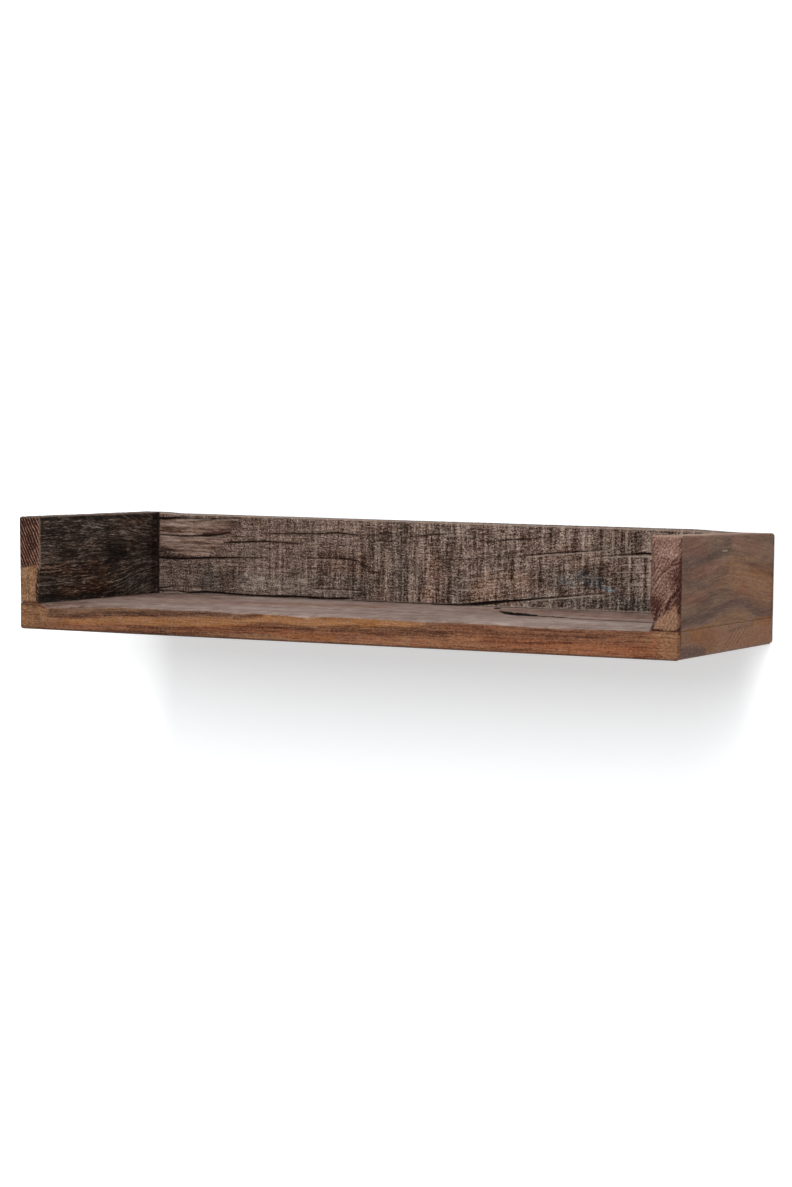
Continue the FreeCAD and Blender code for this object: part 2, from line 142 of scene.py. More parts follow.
# The back board's front: each painted layer's strokes
BACK_PAINT = {
    "torn": (
        (1, 2.2, (0, 69, 7.5), (60, 69.5, 7.5), (84, 71, 3.5)),
        (1, 2.2, (0, 55, 4.5), (20, 52, 8), (40, 50.5, 9), (58, 50.5, 8.5), (70, 54, 5), (82, 57.5, 2))),
    "pale": (
        # The strokes on the next six lines run just below cracks: painted highlights along each crack's
        # lower lip
        (.75, .5, (22, 76.2, .5), (45, 77.5, .5), (62, 78.2, .5)),
        (.6, .5, (66, 76.5, .4), (82, 78.4, .4), (98, 79, .3)),
        (.55, .5, (2, 59, .5), (22, 58.8, .4), (40, 59.4, .5), (60, 59.6, .4), (84, 58.6, .4)),
        (.7, .5, (426, 50.9, .4), (455, 54.2, .5), (490, 57.3, .4), (514, 60.2, .4)),
        (.8, .5, (508, 53.2, .5), (535, 55.2, .5), (558, 55.4, .5)),
        (.75, .5, (430, 7.6, .3), (446, 9.3, .5), (478, 12.8, .5), (492, 14.6, .4), (508, 15.8, .3)),
        (.5, .6, (336, 68.8, .4), (350, 69.6, .4), (366, 70, .3)),
        (.5, .4, (350, 25.2, .4), (376, 26.4, .4)),
        (.5, .4, (350, 15, .4), (372, 16.2, .4), (388, 19.6, .3)),
        # The second stroke on the next line and the first on the line after are painted highlights just
        # below cracks
        (.5, .4, (400, 24, .3), (426, 25.4, .4)), (.4, .4, (185, 9.3, .4), (220, 9.9, .4), (242, 9.4, .3)),
        (.5, .4, (178, 40.4, .4), (206, 40.8, .4)), (.4, .6, (6, 3.6, .8), (18, 3.8, .8)),
        (.5, .8, (44, 5, .8), (52, 4.6, .8)), (.8, .8, (106, 23.5, .8), (108, 21.5, 1)),
        (.9, .6, (121, 18.6, .5), (129, 18.8, .7)), (.6, .7, (102, 10.2, .8), (105, 10, .8)),
        (.5, 1.6, (170, 18.6, 1), (178, 17.8, 1.2)), (.4, .8, (142, 15, .8), (147, 13, .8)),
        # The last stroke on the next line, along the top edge, is a painted highlight on the rounded top
        # arris
        (.5, .5, (146, 6.4, .3), (156, 4.4, .3)), (.6, .7, (0, 83.4, .6), (650, 81.5, .6)),
        (.6, .5, (556, 14, .5), (556, 50, .5)), (.45, .7, (555, 56, .6), (555, 78, .6)),
        (.45, .7, (545, 38, .7), (545, 52, .7)), (.5, .7, (531, 58, .6), (531, 78, .6)),
        (.5, .7, (508, 60, .7), (508, 79, .7)), (.55, .7, (517, 62, .6), (517, 79, .6)),
        (.4, .8, (486, 44, .7), (486, 74, .7)), (.4, .8, (499, 30, .7), (499, 52, .7)),
        (.4, .5, (488, 32.6, .4), (506, 33, .4)), (.5, .5, (522, 38.6, .4), (548, 40.4, .4)),
        (.45, .5, (534, 28, .4), (548, 28.6, .4)), (.4, .5, (524, 45.4, .4), (550, 48.4, .4)),
        (.4, 1, (189, 34, .8), (189, 78, .8)), (.35, 1, (226, 44, .9), (227, 78, .9)),
        (.35, 1, (262, 34, .8), (262, 60, .8)), (.35, 1, (305, 20, .8), (305, 56, .8))),
    "tone": (
        # The next stroke is painted shade below the torn patch, and the first on the line after is a painted
        # shadow along the upper side of the crack under the patch's upper lobe
        (-.7, 3, (0, 43, 3.5), (15, 42, 3), (30, 39.5, 1.2)),
        (-.7, 2, (56, 63, 1), (72, 64.4, 1.6), (86, 67, 1.4)), (-.35, 2, (4, 66, .8), (26, 64.6, 1)),
        (-.6, 2.5, (89, 75, 1.5), (97, 72, 3.5)), (-.35, 3, (66, 46.5, 2), (80, 50, 2.5)),
        (.2, 3, (6, 72, 2), (40, 73, 2)), (.25, 3, (8, 57, 1.5), (70, 57, 1.5)),
        (.15, 3, (26, 44, 1.5), (52, 43.4, 1.5)), (-.6, 1.6, (236, 41, .7), (246, 36, 1), (254, 32, 1.2)),
        (-.5, 1.4, (253, 30, .6), (284, 27.6, .7)), (-.5, .9, (255, 61, .3), (266, 63, .5), (278, 61, .3)),
        (-.9, 1, (289, 61, .8), (291, 61, .9)), (-.8, 1, (263, 70, .7), (275, 71, .8)),
        (-.35, 9, (60, 12, 6), (96, 16, 8)), (-.1, 8, (10, 14, 4), (60, 18, 8)),
        (-.25, 10, (180, 24, 6), (250, 20, 9)), (-.2, 8, (8, 30, 4), (58, 29, 5)),
        (.25, 6, (100, 14, 4), (140, 14, 5), (176, 15, 4)), (-.35, 7, (205, 50, 3), (220, 50, 5)),
        (-.3, 6, (175, 46, 2), (245, 38, 4)), (-.4, 5, (484, 36, 3), (502, 30, 4)),
        (-.35, 4, (440, 4, 4), (556, 5, 6)), (-.2, 6, (284, 10, 8), (286, 78, 8)),
        (-.25, 7, (336, 8, 5), (338, 74, 5)), (-.25, 6, (354, 10, 6), (356, 40, 4)),
        (-.25, 5, (490, 30, 9), (505, 40, 6)), (-.2, 8, (445, 30, 8), (470, 24, 8)),
        (-.2, 5, (520, 70, 18), (540, 70, 10)), (.15, 8, (322, 20, 6), (324, 60, 6)),
        (.15, 8, (460, 60, 8), (470, 74, 6)), (-.6, .9, (135.4, 20, .4), (135, 80, .5)),
        (-.5, .9, (158.6, 20, .4), (158.4, 56, .5)), (-.45, .9, (161.8, 22, .3), (161.4, 50, .4)),
        (-.4, .9, (117, 22, .3), (117, 66, .4)), (-.35, .9, (92.6, 14, .4), (93.4, 34, .5)),
        (-.4, .9, (205.4, 24, .3), (205, 56, .5)), (-.5, 1.2, (512.5, 22, .8), (513, 52, .8)),
        (-.45, 1, (527, 24, .8), (527.5, 44, .8)), (-.5, 1.2, (536, 30, 1.6), (536, 38, 1.6)),
        (-.5, 1.2, (542.6, 31, 1.4), (542.6, 38, 1.4)), (-.45, 1.2, (552, 42, 1.4), (552, 53, 1.4)),
        (-.45, 1.2, (540.8, 60, .6), (541, 78, .6)), (-.4, 1.2, (525.6, 60, .6), (526, 78, .6)),
        (-.4, 1.4, (491, 24, 2.4), (494, 40, 2.4)), (-.4, 1.4, (503, 24, 1.6), (503, 40, 1.6)),
        (-.3, 1.2, (432, 44, .6), (432, 50, .8))),
    "warm": (
        (.5, 8, (322, 8, 5), (324, 36, 5)), (.5, 6, (372, 20, 3), (384, 30, 3)),
        (.35, 10, (200, 46, 8), (235, 40, 8)), (.4, 6, (452, 52, 3), (470, 60, 3)),
        (.35, 8, (366, 12, 5), (440, 26, 6)), (-.5, 7, (284, 10, 8), (288, 78, 8)),
        (-.45, 7, (334, 74, 6), (338, 40, 4)), (-.5, 6, (352, 8, 7), (358, 30, 3)),
        (-.5, 7, (440, 30, 5), (505, 30, 8)), (-.8, 6, (430, 4, 6), (556, 6, 9)),
        (-.6, 8, (60, 12, 6), (240, 14, 8)), (-.3, 8, (6, 16, 6), (60, 20, 8)),
        # The last stroke browns the painted shadow above the crack under the torn patch's upper lobe
        (.3, 5, (4, 57, 3), (70, 52, 5)), (.45, 2.5, (58, 63.5, 2), (84, 67, 2))),
    "blue": (
        (.6, 1.4, (508, 23, .4), (514, 21.6, 1.4), (519, 20, .4)), (.14, 4, (464, 30, 2), (474, 27, 2)),
        (.16, 5, (482, 34, 3), (502, 28, 4))),
}

# The left end board's inner face, u from its front edge
LEFT_INNER_PAINT = {
    "pale": (
        (.55, .6, (126, 55.6, .3), (145, 55, .5), (162, 54.2, .4)),
        (.5, .8, (118, 76, .4), (135, 74.6, .4), (152, 71.4, .4)),
        (.5, .8, (136, 66.6, .4), (145, 64, .5)), (.6, .9, (176, 67, .4), (190, 73.4, .5), (204, 80, .7)),
        (.8, .7, (1, 25.4, .7), (20, 24.6, .5), (32, 22, .4), (44, 19.4, .3)),
        (.7, .8, (1, 18, .7), (16, 19, .4), (28, 19.4, .4)),
        (.5, .8, (1, 44, .4), (18, 41, .5), (40, 38, .3)),
        (.4, .8, (38, 58, .3), (52, 58, .4), (66, 57, .3)), (.6, .9, (7, 78.8, .4), (17, 77.6, .6)),
        (.35, .8, (1, 60, .6), (18, 59.6, .4)), (.35, .8, (76, 79, .4), (82, 73, .4)),
        (.4, .8, (84, 80, .8), (96, 79, .8)), (.35, .9, (98, 64, .5), (114, 63, .5)),
        (1, .5, (33.4, 12.4, .9), (33.8, 12.6, .9)), (.45, 1, (160, 53, 1.2), (163, 51.8, 1)),
        (.45, 1, (162, 45.6, .6), (166, 44.8, .6)), (.5, 1.6, (182, 5, 1), (192, 4.6, 1.2)),
        (.4, .8, (188, 9, .5), (200, 15, .6)), (.35, .8, (4, 53.4, .3), (30, 52, .3)),
        (.3, .7, (60, 31, .4), (80, 27.4, .4)), (.3, .7, (84, 21.6, .4), (116, 20.4, .4)),
        (.3, .7, (60, 24.6, .3), (96, 24, .3)), (.35, .6, (100, 42, .4), (118, 41, .4)),
        (.3, .6, (42, 16, .3), (70, 15.2, .3)), (.3, .7, (94, 53.4, .4), (112, 52.4, .4))),
    "tone": (
        (-1, 9, (127, 50, 2), (134, 45, 5), (144, 50, 3)), (-.7, 8, (132, 40, 3), (122, 34, 3)),
        (-.4, 7, (124, 48, 4), (146, 47, 5)), (-.4, 9, (146, 50, 3), (160, 44, 2)),
        (-.7, 2.5, (162, 49, 1.2), (168, 47.6, 1.2)), (-.5, 4, (150, 54, .8), (126, 55, .4)),
        (-.5, 6, (198, 50, 3), (210, 46, 5)), (-.45, 3, (204, 4, 3), (209, 80, 3)),
        (-.35, 5, (10, 48, 1.5), (60, 46, 2.5)), (-.3, 5, (18, 72, 5), (34, 70, 5)),
        (-.4, 4, (100, 57, 1.5), (118, 50, 3)), (-.4, 4, (2, 5, 4), (30, 7, 4)),
        (-.6, 4, (0, 1, 3), (30, 2, 4), (80, 1, 3), (150, 1, 1.5)), (-.4, 4, (70, 5, 2), (130, 6, 2)),
        (-.45, 2, (0, 83, .6), (212, 81.5, .8)), (.35, 9, (176, 36, 5), (186, 30, 7)),
        (.3, 8, (84, 66, 7), (104, 70, 9)), (.25, 8, (6, 40, 6), (60, 32, 6)),
        (.3, 6, (158, 14, 5), (168, 12, 5)), (.2, 8, (190, 10, 6), (200, 12, 5)),
        (.2, 6, (150, 70, 5), (190, 66, 5)), (-.35, 2, (4, 21.6, .6), (40, 23.4, .6)),
        (-.4, 2, (70, 41, .8), (122, 43, .8)), (-.35, 2, (64, 36, .7), (112, 33.6, .7)),
        (-.3, 2, (30, 48, .8), (58, 50, .8))),
    "warm": (
        (.65, 7, (6, 31, 3), (40, 31, 4), (70, 27, 3)), (.7, 6, (80, 32, 6), (112, 28, 5)),
        (.8, 6, (40, 9, 3), (76, 11, 4), (112, 8, 3)), (.5, 6, (90, 18, 4), (120, 14, 3)),
        (-.5, 10, (20, 74, 5), (110, 70, 8)), (-.9, 8, (160, 14, 7), (190, 14, 6)),
        (-.9, 8, (170, 36, 6), (190, 32, 7)), (-.5, 7, (186, 54, 6), (202, 62, 5)),
        (.4, 5, (150, 79, 3), (190, 77, 3))),
}

# The left end board's front end, u from its outer face
LEFT_FRONT_PAINT = {
    "tan": (
        (1, 1.3, (-2, 15, 17), (8, 17, 17.5), (14, 18, 17), (18, 10, 15.5)),
        (.7, 1.2, (14, 34, 2), (21, 35.4, 1.6))),
    "tone": (
        (-.8, 1.6, (17, 28.6, .9), (25, 28.8, 1.2)), (-.5, 1.5, (22, 20, .5), (24, 24, 1.4)),
        # The last stroke on the next line darkens the foot of the end along its joint with the base: a dark
        # joint line with painted shade in the joint
        (-.6, 1.2, (20.8, 4, .3), (21.4, 22, .4)), (-1, 1.4, (-1, .2, .9), (26, .2, .9)),
        (-.5, 3, (10, 66, 2), (16, 56, 2.5)), (-.45, 3, (2, 78, 2), (18, 79, 2)),
        (.4, 2, (14, 79, 2), (17, 76, 2)), (.35, 2, (15, 42, 1), (17, 52, 1.4)),
        (.4, .8, (6, 68, .5), (12, 57, .5)), (.35, .8, (1, 64, .5), (7, 53, .5)),
        (.35, .8, (8, 74, .4), (16, 61, .5)), (.35, .8, (1, 52, .5), (8, 42, .5)),
        (.5, 1.2, (22, 34, 1), (23, 82, 1))),
    "warm": (
        (.6, 3, (4, 60, 3), (8, 44, 4)), (.3, 3, (8, 24, 5), (14, 10, 5))),
}

# The right end board's front end, u from its inner face
RIGHT_FRONT_PAINT = {
    "tan": (
        (1, 1.2, (7, 5, 3), (11, 7, 5), (17, 7.5, 7), (22, 9, 7.5)), (1, 1.4, (20, 14, 3), (23.4, 20, 1.6))),
    "tone": (
        (-.5, .9, (-1, 67, .4), (5, 78, .5)), (.5, 5, (8, 76, 6), (22, 74, 8)),
        (.3, 4, (8, 60, 4), (16, 66, 5)),
        (-.3, .9, (27, 66, .4), (20, 60, .5), (12, 51, .5), (4.6, 43, .4)),
        (-.4, 5, (4, 26, 2), (8, 16, 2)), (.25, 8, (6, 42, 8), (16, 36, 8)),
        (.5, .9, (25, 57, .5), (18, 54.5, .6), (12, 48.6, .6), (7, 43, .5)),
        (-1, .9, (29, 42, .6), (24.5, 33.5, .7), (20, 29.7, .7), (18, 25.3, .8), (15.3, 20.2, .6)),
        (.6, .9, (26.4, 41.8, .5), (20.6, 33, .6), (15.3, 25.3, .6), (12.4, 19.6, .5)),
        (-.25, 6, (4, 24, 4), (24, 24, 5)), (-.5, 4, (24, 44, 3), (28, 30, 4)),
        (-.35, 4, (26, 56, 2), (28, 40, 2)), (-1, .9, (8.5, 21, .6), (5.6, 15, 1), (3.4, 10, .8)),
        (.8, 1, (9, 16, 1), (11, 15.6, .9)), (-.7, .9, (27.4, 17, .5), (27.2, 1, .6)),
        # The first stroke on the next line darkens the foot of the end along its joint with the base: a dark
        # joint line with painted shade in the joint
        (-1, .8, (0, 4, .7), (4.6, .6, .7), (15, .5, .5), (29, .2, .6)), (-.6, 1, (0, 4, .6), (.4, 60, .5))),
    "warm": (
        (.5, 5, (8, 6, 4), (24, 8, 5)),),
    "pale": (
        (.5, .8, (0, 83.4, .5), (30, 83.4, .5)),),
}

# The right end board's outer face, u from its front edge, v above the underside of the base
RIGHT_OUTER_PAINT = {
    "warm": (
        (.55, 16, (96, 66, 2), (118, 76, 8), (150, 72, 12), (185, 62, 14), (232, 50, 14)),
        (.4, 6, (172, 74, 2), (232, 70, 4)),
        (.5, 5, (84, 28, 2), (110, 33, 5), (140, 34, 5), (160, 30, 3)),
        (1, 3, (4, 26, 1), (34, 26, 1.4), (80, 27, 1)), (1, 3, (184, 26, 1.4), (232, 26, 2.2)),
        (-.5, 12, (8, 92, 6), (60, 94, 6), (112, 102, 5)), (-.3, 8, (60, 76, 3), (92, 84, 3)),
        (-.8, 5, (-4, 33, 3), (50, 34, 3), (80, 38, 2.5), (110, 45, 3), (150, 44, 3)),
        (-.4, 4, (160, 40, 2), (190, 34, 2), (226, 29, 1))),
    "rosy": (
        (.4, 12, (120, 74, 6), (160, 66, 12), (226, 58, 14)), (.5, 6, (196, 28, 2), (232, 30, 4)),
        (.8, 5, (32, 76, 2), (60, 79, 4), (92, 82, 3)), (.8, 4, (6, 53, 2), (30, 54, 3), (56, 52, 2)),
        (.6, 6, (4, 98, 4), (30, 100, 5), (56, 97, 4)), (.5, 6, (126, 101, 3), (160, 98, 4), (196, 96, 4)),
        (.5, 6, (120, 50, 3), (150, 55, 4)), (.5, 4, (8, 78, 2), (34, 76, 2)),
        (.5, 4, (60, 60, 2), (90, 64, 2)), (.4, 4, (170, 38, 2), (196, 36, 3))),
    "tone": (
        (-.6, 4, (2, 33, 2.5), (50, 34, 2.5), (90, 42, 1.5), (120, 46, 1)),
        (-.3, 4, (120, 46, 1), (150, 44, 1)),
        (-.45, 3, (158, 40, .6), (176, 36, 2), (196, 32, 2), (228, 29, 1.4)),
        (-.25, 8, (8, 70, 6), (50, 72, 6)), (.2, 12, (-4, 12, 10), (80, 16, 10), (160, 30, 5)),
        (-.35, 6, (66, 88, 3), (96, 96, 3), (112, 100, 3)), (.3, 6, (180, 74, 3), (230, 68, 4)),
        (.55, 10, (122, 70, 8), (215, 54, 10)), (.5, 7, (130, 102, 5), (222, 92, 6)),
        (.2, 8, (8, 100, 6), (100, 104, 6)), (-.5, 1.6, (0, 70, .8), (16, 69.6, .7), (30, 70, .4)),
        (-.35, 2.4, (118, 92.6, .8), (160, 83, .8), (226, 69, 1)),
        (-.35, 6, (8, 86, 3), (70, 92, 4), (112, 99, 4)), (-.25, 7, (40, 46, 3), (70, 50, 4)),
        (-.3, 6, (150, 98, 3), (215, 92, 3)), (-.35, 3, (196, 84, 1), (222, 80, 1)),
        (.3, 7, (140, 72, 7), (200, 60, 6)), (.3, 6, (120, 82, 3), (160, 80, 3)),
        (.3, 4, (30, 77, 2), (70, 80, 2.5), (100, 88, 2.5)), (.25, 4, (14, 57, 2), (60, 58, 2)),
        (-.5, 2, (225.6, 30, 1.2), (225.6, 100, 1.2)), (-.7, .9, (.2, 28, .4), (.2, 108, .4))),
    "pale": (
        (1, .6, (97, 94.8, .5), (108, 95.2, .5)),),
}

# The base's front edge, u from its left end, v above its underside
BASE_FRONT_PAINT = {
    "tan": (
        (1, 1.6, (-4, 13, 15), (15, 13, 15.5)), (.7, 11, (696, 10, 12), (708, 13, 14)),
        (.7, 4, (678, 25, 2.5), (700, 26, 3))),
    "rosy": (
        (.5, 6, (680, 8, 8), (702, 10, 10)), (.6, 3, (30, 5, 2), (100, 5.6, 2), (160, 5, 1.6)),
        (.7, 2.6, (180, 6, 1.6), (260, 11, 3), (300, 10, 3)),
        (.5, 3, (300, 8, 4), (350, 8, 4), (420, 8, 4)),
        (.55, 8, (468, 22, 3), (540, 18, 8), (664, 16, 10)), (.45, 5, (440, 6, 4), (664, 6, 4))),
    "warm": (
        (.5, 3, (50, 9, 2), (110, 12, 2.5), (180, 13, 3.2), (240, 15.5, 3), (262, 18, 2.6), (280, 22, 3),
            (300, 21.4, 3.4), (340, 21, 3.8), (400, 22, 3.4), (430, 23, 2), (450, 24, .4)),
        (.6, 4, (4, 20, 3), (12, 8, 3)), (.5, 3, (22, 22, 2), (28, 14, 2)),
        (.5, 2.5, (308, 5.6, 1.6), (330, 5.6, 1.8), (352, 5, 1.6)), (.3, 3, (380, 20, 3), (400, 22, 2)),
        (-.8, 2.5, (34, 21, 3), (60, 22, 4), (120, 23, 3), (200, 24, 2), (250, 24.4, 1.2)),
        (-.4, 3, (446, 25, 1), (456, 23, 1)), (-.35, 3, (30, 4, 2), (170, 4.6, 1.6)),
        (-.3, 4, (460, 22, 2), (668, 20, 4))),
    "tone": (
        (.45, 2.5, (60, 9.4, 1.4), (110, 12.4, 2), (180, 13.4, 2.6), (240, 16, 2.2), (262, 18.4, 2),
            (280, 22, 2.4), (300, 21.4, 2.8), (340, 21, 3.2), (400, 22, 3), (426, 23, 1.6), (448, 24, .3)),
        (-.5, 3, (8, 14, 2), (18, 12, 2)), (-.4, 3, (10, 4, 2), (26, 4, 2)),
        (-.5, 3, (36, 22, 2), (52, 21, 2)), (-.4, 2, (14, 23, 1.4), (19, 20, 1)),
        (-.6, 1.4, (33, 15.2, .6), (60, 15, .9), (92, 15.8, .9)),
        (-.6, 2.6, (60, 19, 1.4), (90, 19, 2), (125, 20, 1.8), (170, 22.4, 2), (205, 23, 1.6),
            (240, 23.6, 1)),
        (-.8, 1.6, (246, 21, .6), (264, 22.6, 1.4), (277, 24.6, .8)),
        (-.5, 2.4, (125, 6.6, .8), (170, 5.8, 1.8), (200, 6.6, 2.4), (235, 8, 3), (255, 9.4, 3),
            (275, 12, 3.6), (300, 13.4, 2.6), (330, 12.4, 2)),
        (-.9, .9, (338, 16, .5), (380, 17.6, .6), (420, 18.8, .7), (436, 18.4, .7), (452, 16.6, .8),
            (478, 15, .5)),
        (-.5, 2.2, (352, 13.2, 1.2), (400, 13.6, 1.8), (440, 14, 2), (470, 13, 2.4)),
        (-.6, .9, (286, 25, .5), (318, 24.6, .6)), (-.5, 1, (340, 24.6, .5), (366, 24.4, .5)),
        (-.6, 1, (452, 16.4, .5), (520, 17, .6), (560, 18, .7), (606, 18.8, .8), (640, 19.6, .6)),
        (-.5, .9, (508, 13.4, .4), (560, 14, .5), (596, 15.6, .4)),
        (-.75, .9, (505, 9.6, .6), (545, 9.8, .6), (575, 11, .7), (595, 12, .8)),
        (-.5, .9, (538, 3, .5), (560, 3.8, .6), (576, 3.4, .4)),
        (-.45, .9, (556, 23.2, .4), (606, 23.6, .5)), (-.5, .9, (600, 15, .3), (603, 19, .5)),
        (-.4, .9, (636, 13, .4), (650, 15, .5), (668, 15.4, .5)),
        (-.45, 1.2, (652, 10.4, .6), (668, 11.6, .8)), (-.4, 1, (656, 2, .5), (680, 3.4, .5)),
        (-.4, 2, (610, 18.6, 1.4), (626, 18, 1.4)), (.3, 2.5, (560, 7, 1.4), (650, 6, 2)),
        (.3, 2, (510, 22, 1), (545, 22, 1.4)), (.3, 2.4, (380, 5, 2), (430, 6, 2)),
        (-.5, 1.6, (20, 14, 1.4), (24, 9, .8)), (.3, 1.4, (2, 18, 1), (6, 22, 1)),
        # The first stroke on the next line and the first on the line after darken the base's top edge where
        # the end boards stand on it: dark joint lines with painted shade in the joints
        (-.9, 1.6, (-2, 25.4, 1.7), (27, 25.4, 1.9)), (-.5, 2, (5, 23, .8), (7, 22.6, .8)),
        (-.7, .9, (672, 26, .6), (699, 25.7, .5)), (-.35, 2, (452, 22, 2), (560, 22, 2.4), (670, 22, 1.8)),
        (-.9, 1, (-2, .5, .9), (702, .2, .9)), (-.55, 1.6, (100, 2.2, .7), (240, 1.6, .7)),
        (-.7, 1.4, (699.4, -1, .7), (699.4, 26, .7)), (-.6, 1.4, (.4, 0, .7), (.4, 24, .7))),
    "pale": (
        (.6, .7, (323, 25.4, .6), (326, 25, .6)), (.22, 1, (584.6, 4.6, .6), (586, 4.7, .5)),
        (.2, .9, (625, 8.6, .4), (626, 8.7, .4))),
}

# The base's ends, u from the front edge, v above the underside
BASE_END_PAINT = {
    "warm": (
        (.8, 2.4, (20, 24.2, .8), (40, 23.4, 1.4), (54, 22.8, .8)),
        (.7, 2.4, (178, 24, 1.2), (206, 22.4, 1.8), (232, 24, 1.6)), (.3, 9, (60, 14, 10), (232, 12, 10)),
        (.7, 4, (26, 21, 1), (44, 18, 3), (54, 20, 1)), (.4, 8, (0, 16, 6), (76, 14, 8)),
        (-.6, 7, (-4, 5, 4), (50, 4, 3))),
    "rosy": (
        (.5, 5, (24, 19, 3), (52, 18, 4), (150, 8, 6), (220, 14, 6)),
        (.4, 3, (190, 23, 1.4), (232, 23, 1.4))),
    "tone": (
        (.6, 3, (-8, 13, 20), (238, 13, 20)), (-.8, 5, (4, 6, 4), (56, 5, 3)),
        (.3, 3, (26, 22, 1), (46, 20, 2)), (-.35, 9, (0, 14, 8), (70, 12, 8)),
        (.25, 3, (180, 21, 1), (202, 20, 2)),
        *((sign * .6, .9, (96 + run, 2, .4), (110 + run, 8, .5), (132 + run, 20, .4))
          for sign, run in ((-1, 0), (1, 4), (-1, 8), (1, 13), (-1, 18), (1, 22), (-1, 27))),
        (-.7, 1.4, (116, 19, .8), (140, 21.6, .8), (176, 22, .5)), (-.8, 1.2, (-2, .4, .8), (232, .4, .8)),
        (-.8, 1.6, (228.6, 0, 1), (228.6, 26, 1)), (-.9, 1.2, (.2, 0, .7), (.2, 26, .7))),
}

# The base's top, u from its left end, v from its front edge
BASE_TOP_PAINT = {
    "tone": (
        # The first stroke on the next line darkens the top by the left end board's front: painted shade with
        # the wood's own dark streaks; the line at u 27 is painted shade in the corner along the left end
        # board
        (-.8, 10, (18, 4, 4), (60, 24, 6), (46, 40, 4)), (-.35, 14, (28, 150, 12), (40, 200, 16)),
        (-1, 2, (24, 18, 1.6), (44, 23, 2), (66, 27, 1.4)), (-.35, 6, (34, 2, 4), (100, 4, 5)),
        (-1, 4, (27, 0, 2.6), (27, 212, 2.6)), (-.3, 20, (470, 176, 18), (640, 160, 26)),
        (-.5, 5, (552, 103, 2.5), (600, 98, 3), (650, 96, 3)), (-.35, 12, (600, 190, 14), (560, 206, 10)),
        (.3, 24, (500, 40, 18), (640, 60, 22)), (-.3, 6, (110, 20, 3), (125, 44, 4)),
        (-.25, 8, (170, 100, 6), (200, 110, 5))),
    "warm": (
        (.5, 20, (50, 130, 14), (110, 170, 16)), (.5, 22, (420, 190, 12), (540, 160, 22), (650, 140, 30)),
        (-.8, 24, (380, 60, 20), (650, 44, 24)), (-.5, 12, (100, 26, 6), (150, 30, 12)),
        (.15, 8, (34, 2, 5), (104, 4, 6)), (.6, 20, (120, 100, 16), (300, 150, 24))),
}

# The gash in the base's top and the cracks that run on from it
BASE_GASH = (
    (3.2, (446, 164, .5), (460, 150, 5), (476, 136, 11), (490, 124, 12), (502, 118, 6), (516, 114, 2)),
    (1.6, (516, 120, 2), (530, 114, 4), (544, 108, 2)), (1.2, (424, 204, 2), (430, 190, 2)),
    (1.6, (352, 214, 4), (388, 213, 4)), (.8, (548, 106, .6), (600, 99, .8), (646, 96, .8))
)

# How far the base's front arris has worn down along it: (x, drop)
BASE_ARRIS_DROP = (
    (-350, .2), (-326, .4), (-318, 3.6), (-296, 3.6), (-275, 2.8), (-258, 1.4), (-242, .3), (-226, -.5),
    (-209, -.9), (-193, -.6), (-181, 0), (-170, .5), (-148, 0), (-126, -.3), (-104, .8), (-94, .8),
    (-83, 0), (-67, .5), (-50, .8), (-34, 1.4), (-21, 1.4), (-11, .5), (11, 0), (32, .1), (55, .4),
    (65, .6), (76, 1), (87, 1), (109, .5), (137, .3), (160, .5), (181, .8), (202, 1.4), (224, 1.2),
    (235, 1.5), (256, 1.2), (280, .6), (298, .4), (312, 0), (330, 0), (350, .3))


# Strokes on points

def stroke_insides(points, line):
    """For each (u, v) point, how far inside a stroke it lies; below zero is outside."""
    inside = np.full(len(points), -1e3)
    for (u0, v0, w0), (u1, v1, w1) in zip(line[:-1], line[1:]):
        start, run = np.array((u0, v0)), np.array((u1 - u0, v1 - v0))
        share = np.clip(((points - start) @ run) / (run @ run), 0, 1)
        gap = np.linalg.norm(points - start - share[:, None] * run, axis=1)
        inside = np.maximum(inside, w0 + (w1 - w0) * share - gap)
    return inside


def smooth(values):
    """An eased step from 0 to 1."""
    values = np.clip(values, 0, 1)
    return values * values * (3 - 2 * values)


def paint_face(layers, chosen, place, paint):
    """Lays a face's strokes on its chosen points, layer by layer; place is (u, v) for all points."""
    points = np.stack(place, axis=1)[chosen]
    for layer, strokes in paint.items():
        values = layers[layer]
        for amount, softness, *line in strokes:
            share = smooth((stroke_insides(points, line) + softness) / softness) * amount
            if layer in ("tone", "warm", "rosy"):
                values[chosen] = np.clip(values[chosen] + share, -1, 1)
            else:
                values[chosen] = np.maximum(values[chosen], share)


def crack_face(layers, chosen, place, cracks):
    """Notes how far inside a crack each chosen point lies, and returns how deep it goes at every point."""
    points = np.stack(place, axis=1)[chosen]
    depth = np.zeros(len(points))
    for deepest, *line in cracks:
        inside = stroke_insides(points, line)
        layers["crack"][chosen] = np.maximum(layers["crack"][chosen], inside)
        depth = np.maximum(depth, deepest * smooth((inside + 0.3) / 1.2))
    everywhere = np.zeros(len(chosen))
    everywhere[chosen] = depth
    return everywhere


def unevenness(points, sizes, octaves=2, seed=0.0):
    """Smooth random waves of about -1 to 1, as long along each axis as sizes say."""
    scaled = points / np.array(sizes) + seed * np.array((17.3, 5.9, 11.7))
    return np.array([noise.fractal(point, 1.0, 2.0, octaves) for point in scaled.tolist()])


# Board meshes

ARRIS_STEPS = (0.0, 0.42, 0.73)     # lines across a rounded arris, as shares of its radius
HAIR = 0.01                         # within this a point lies on a face
UNCRACKED, UNWORN = -9.0, 9.0       # the crack and arris layers far from any crack or arris

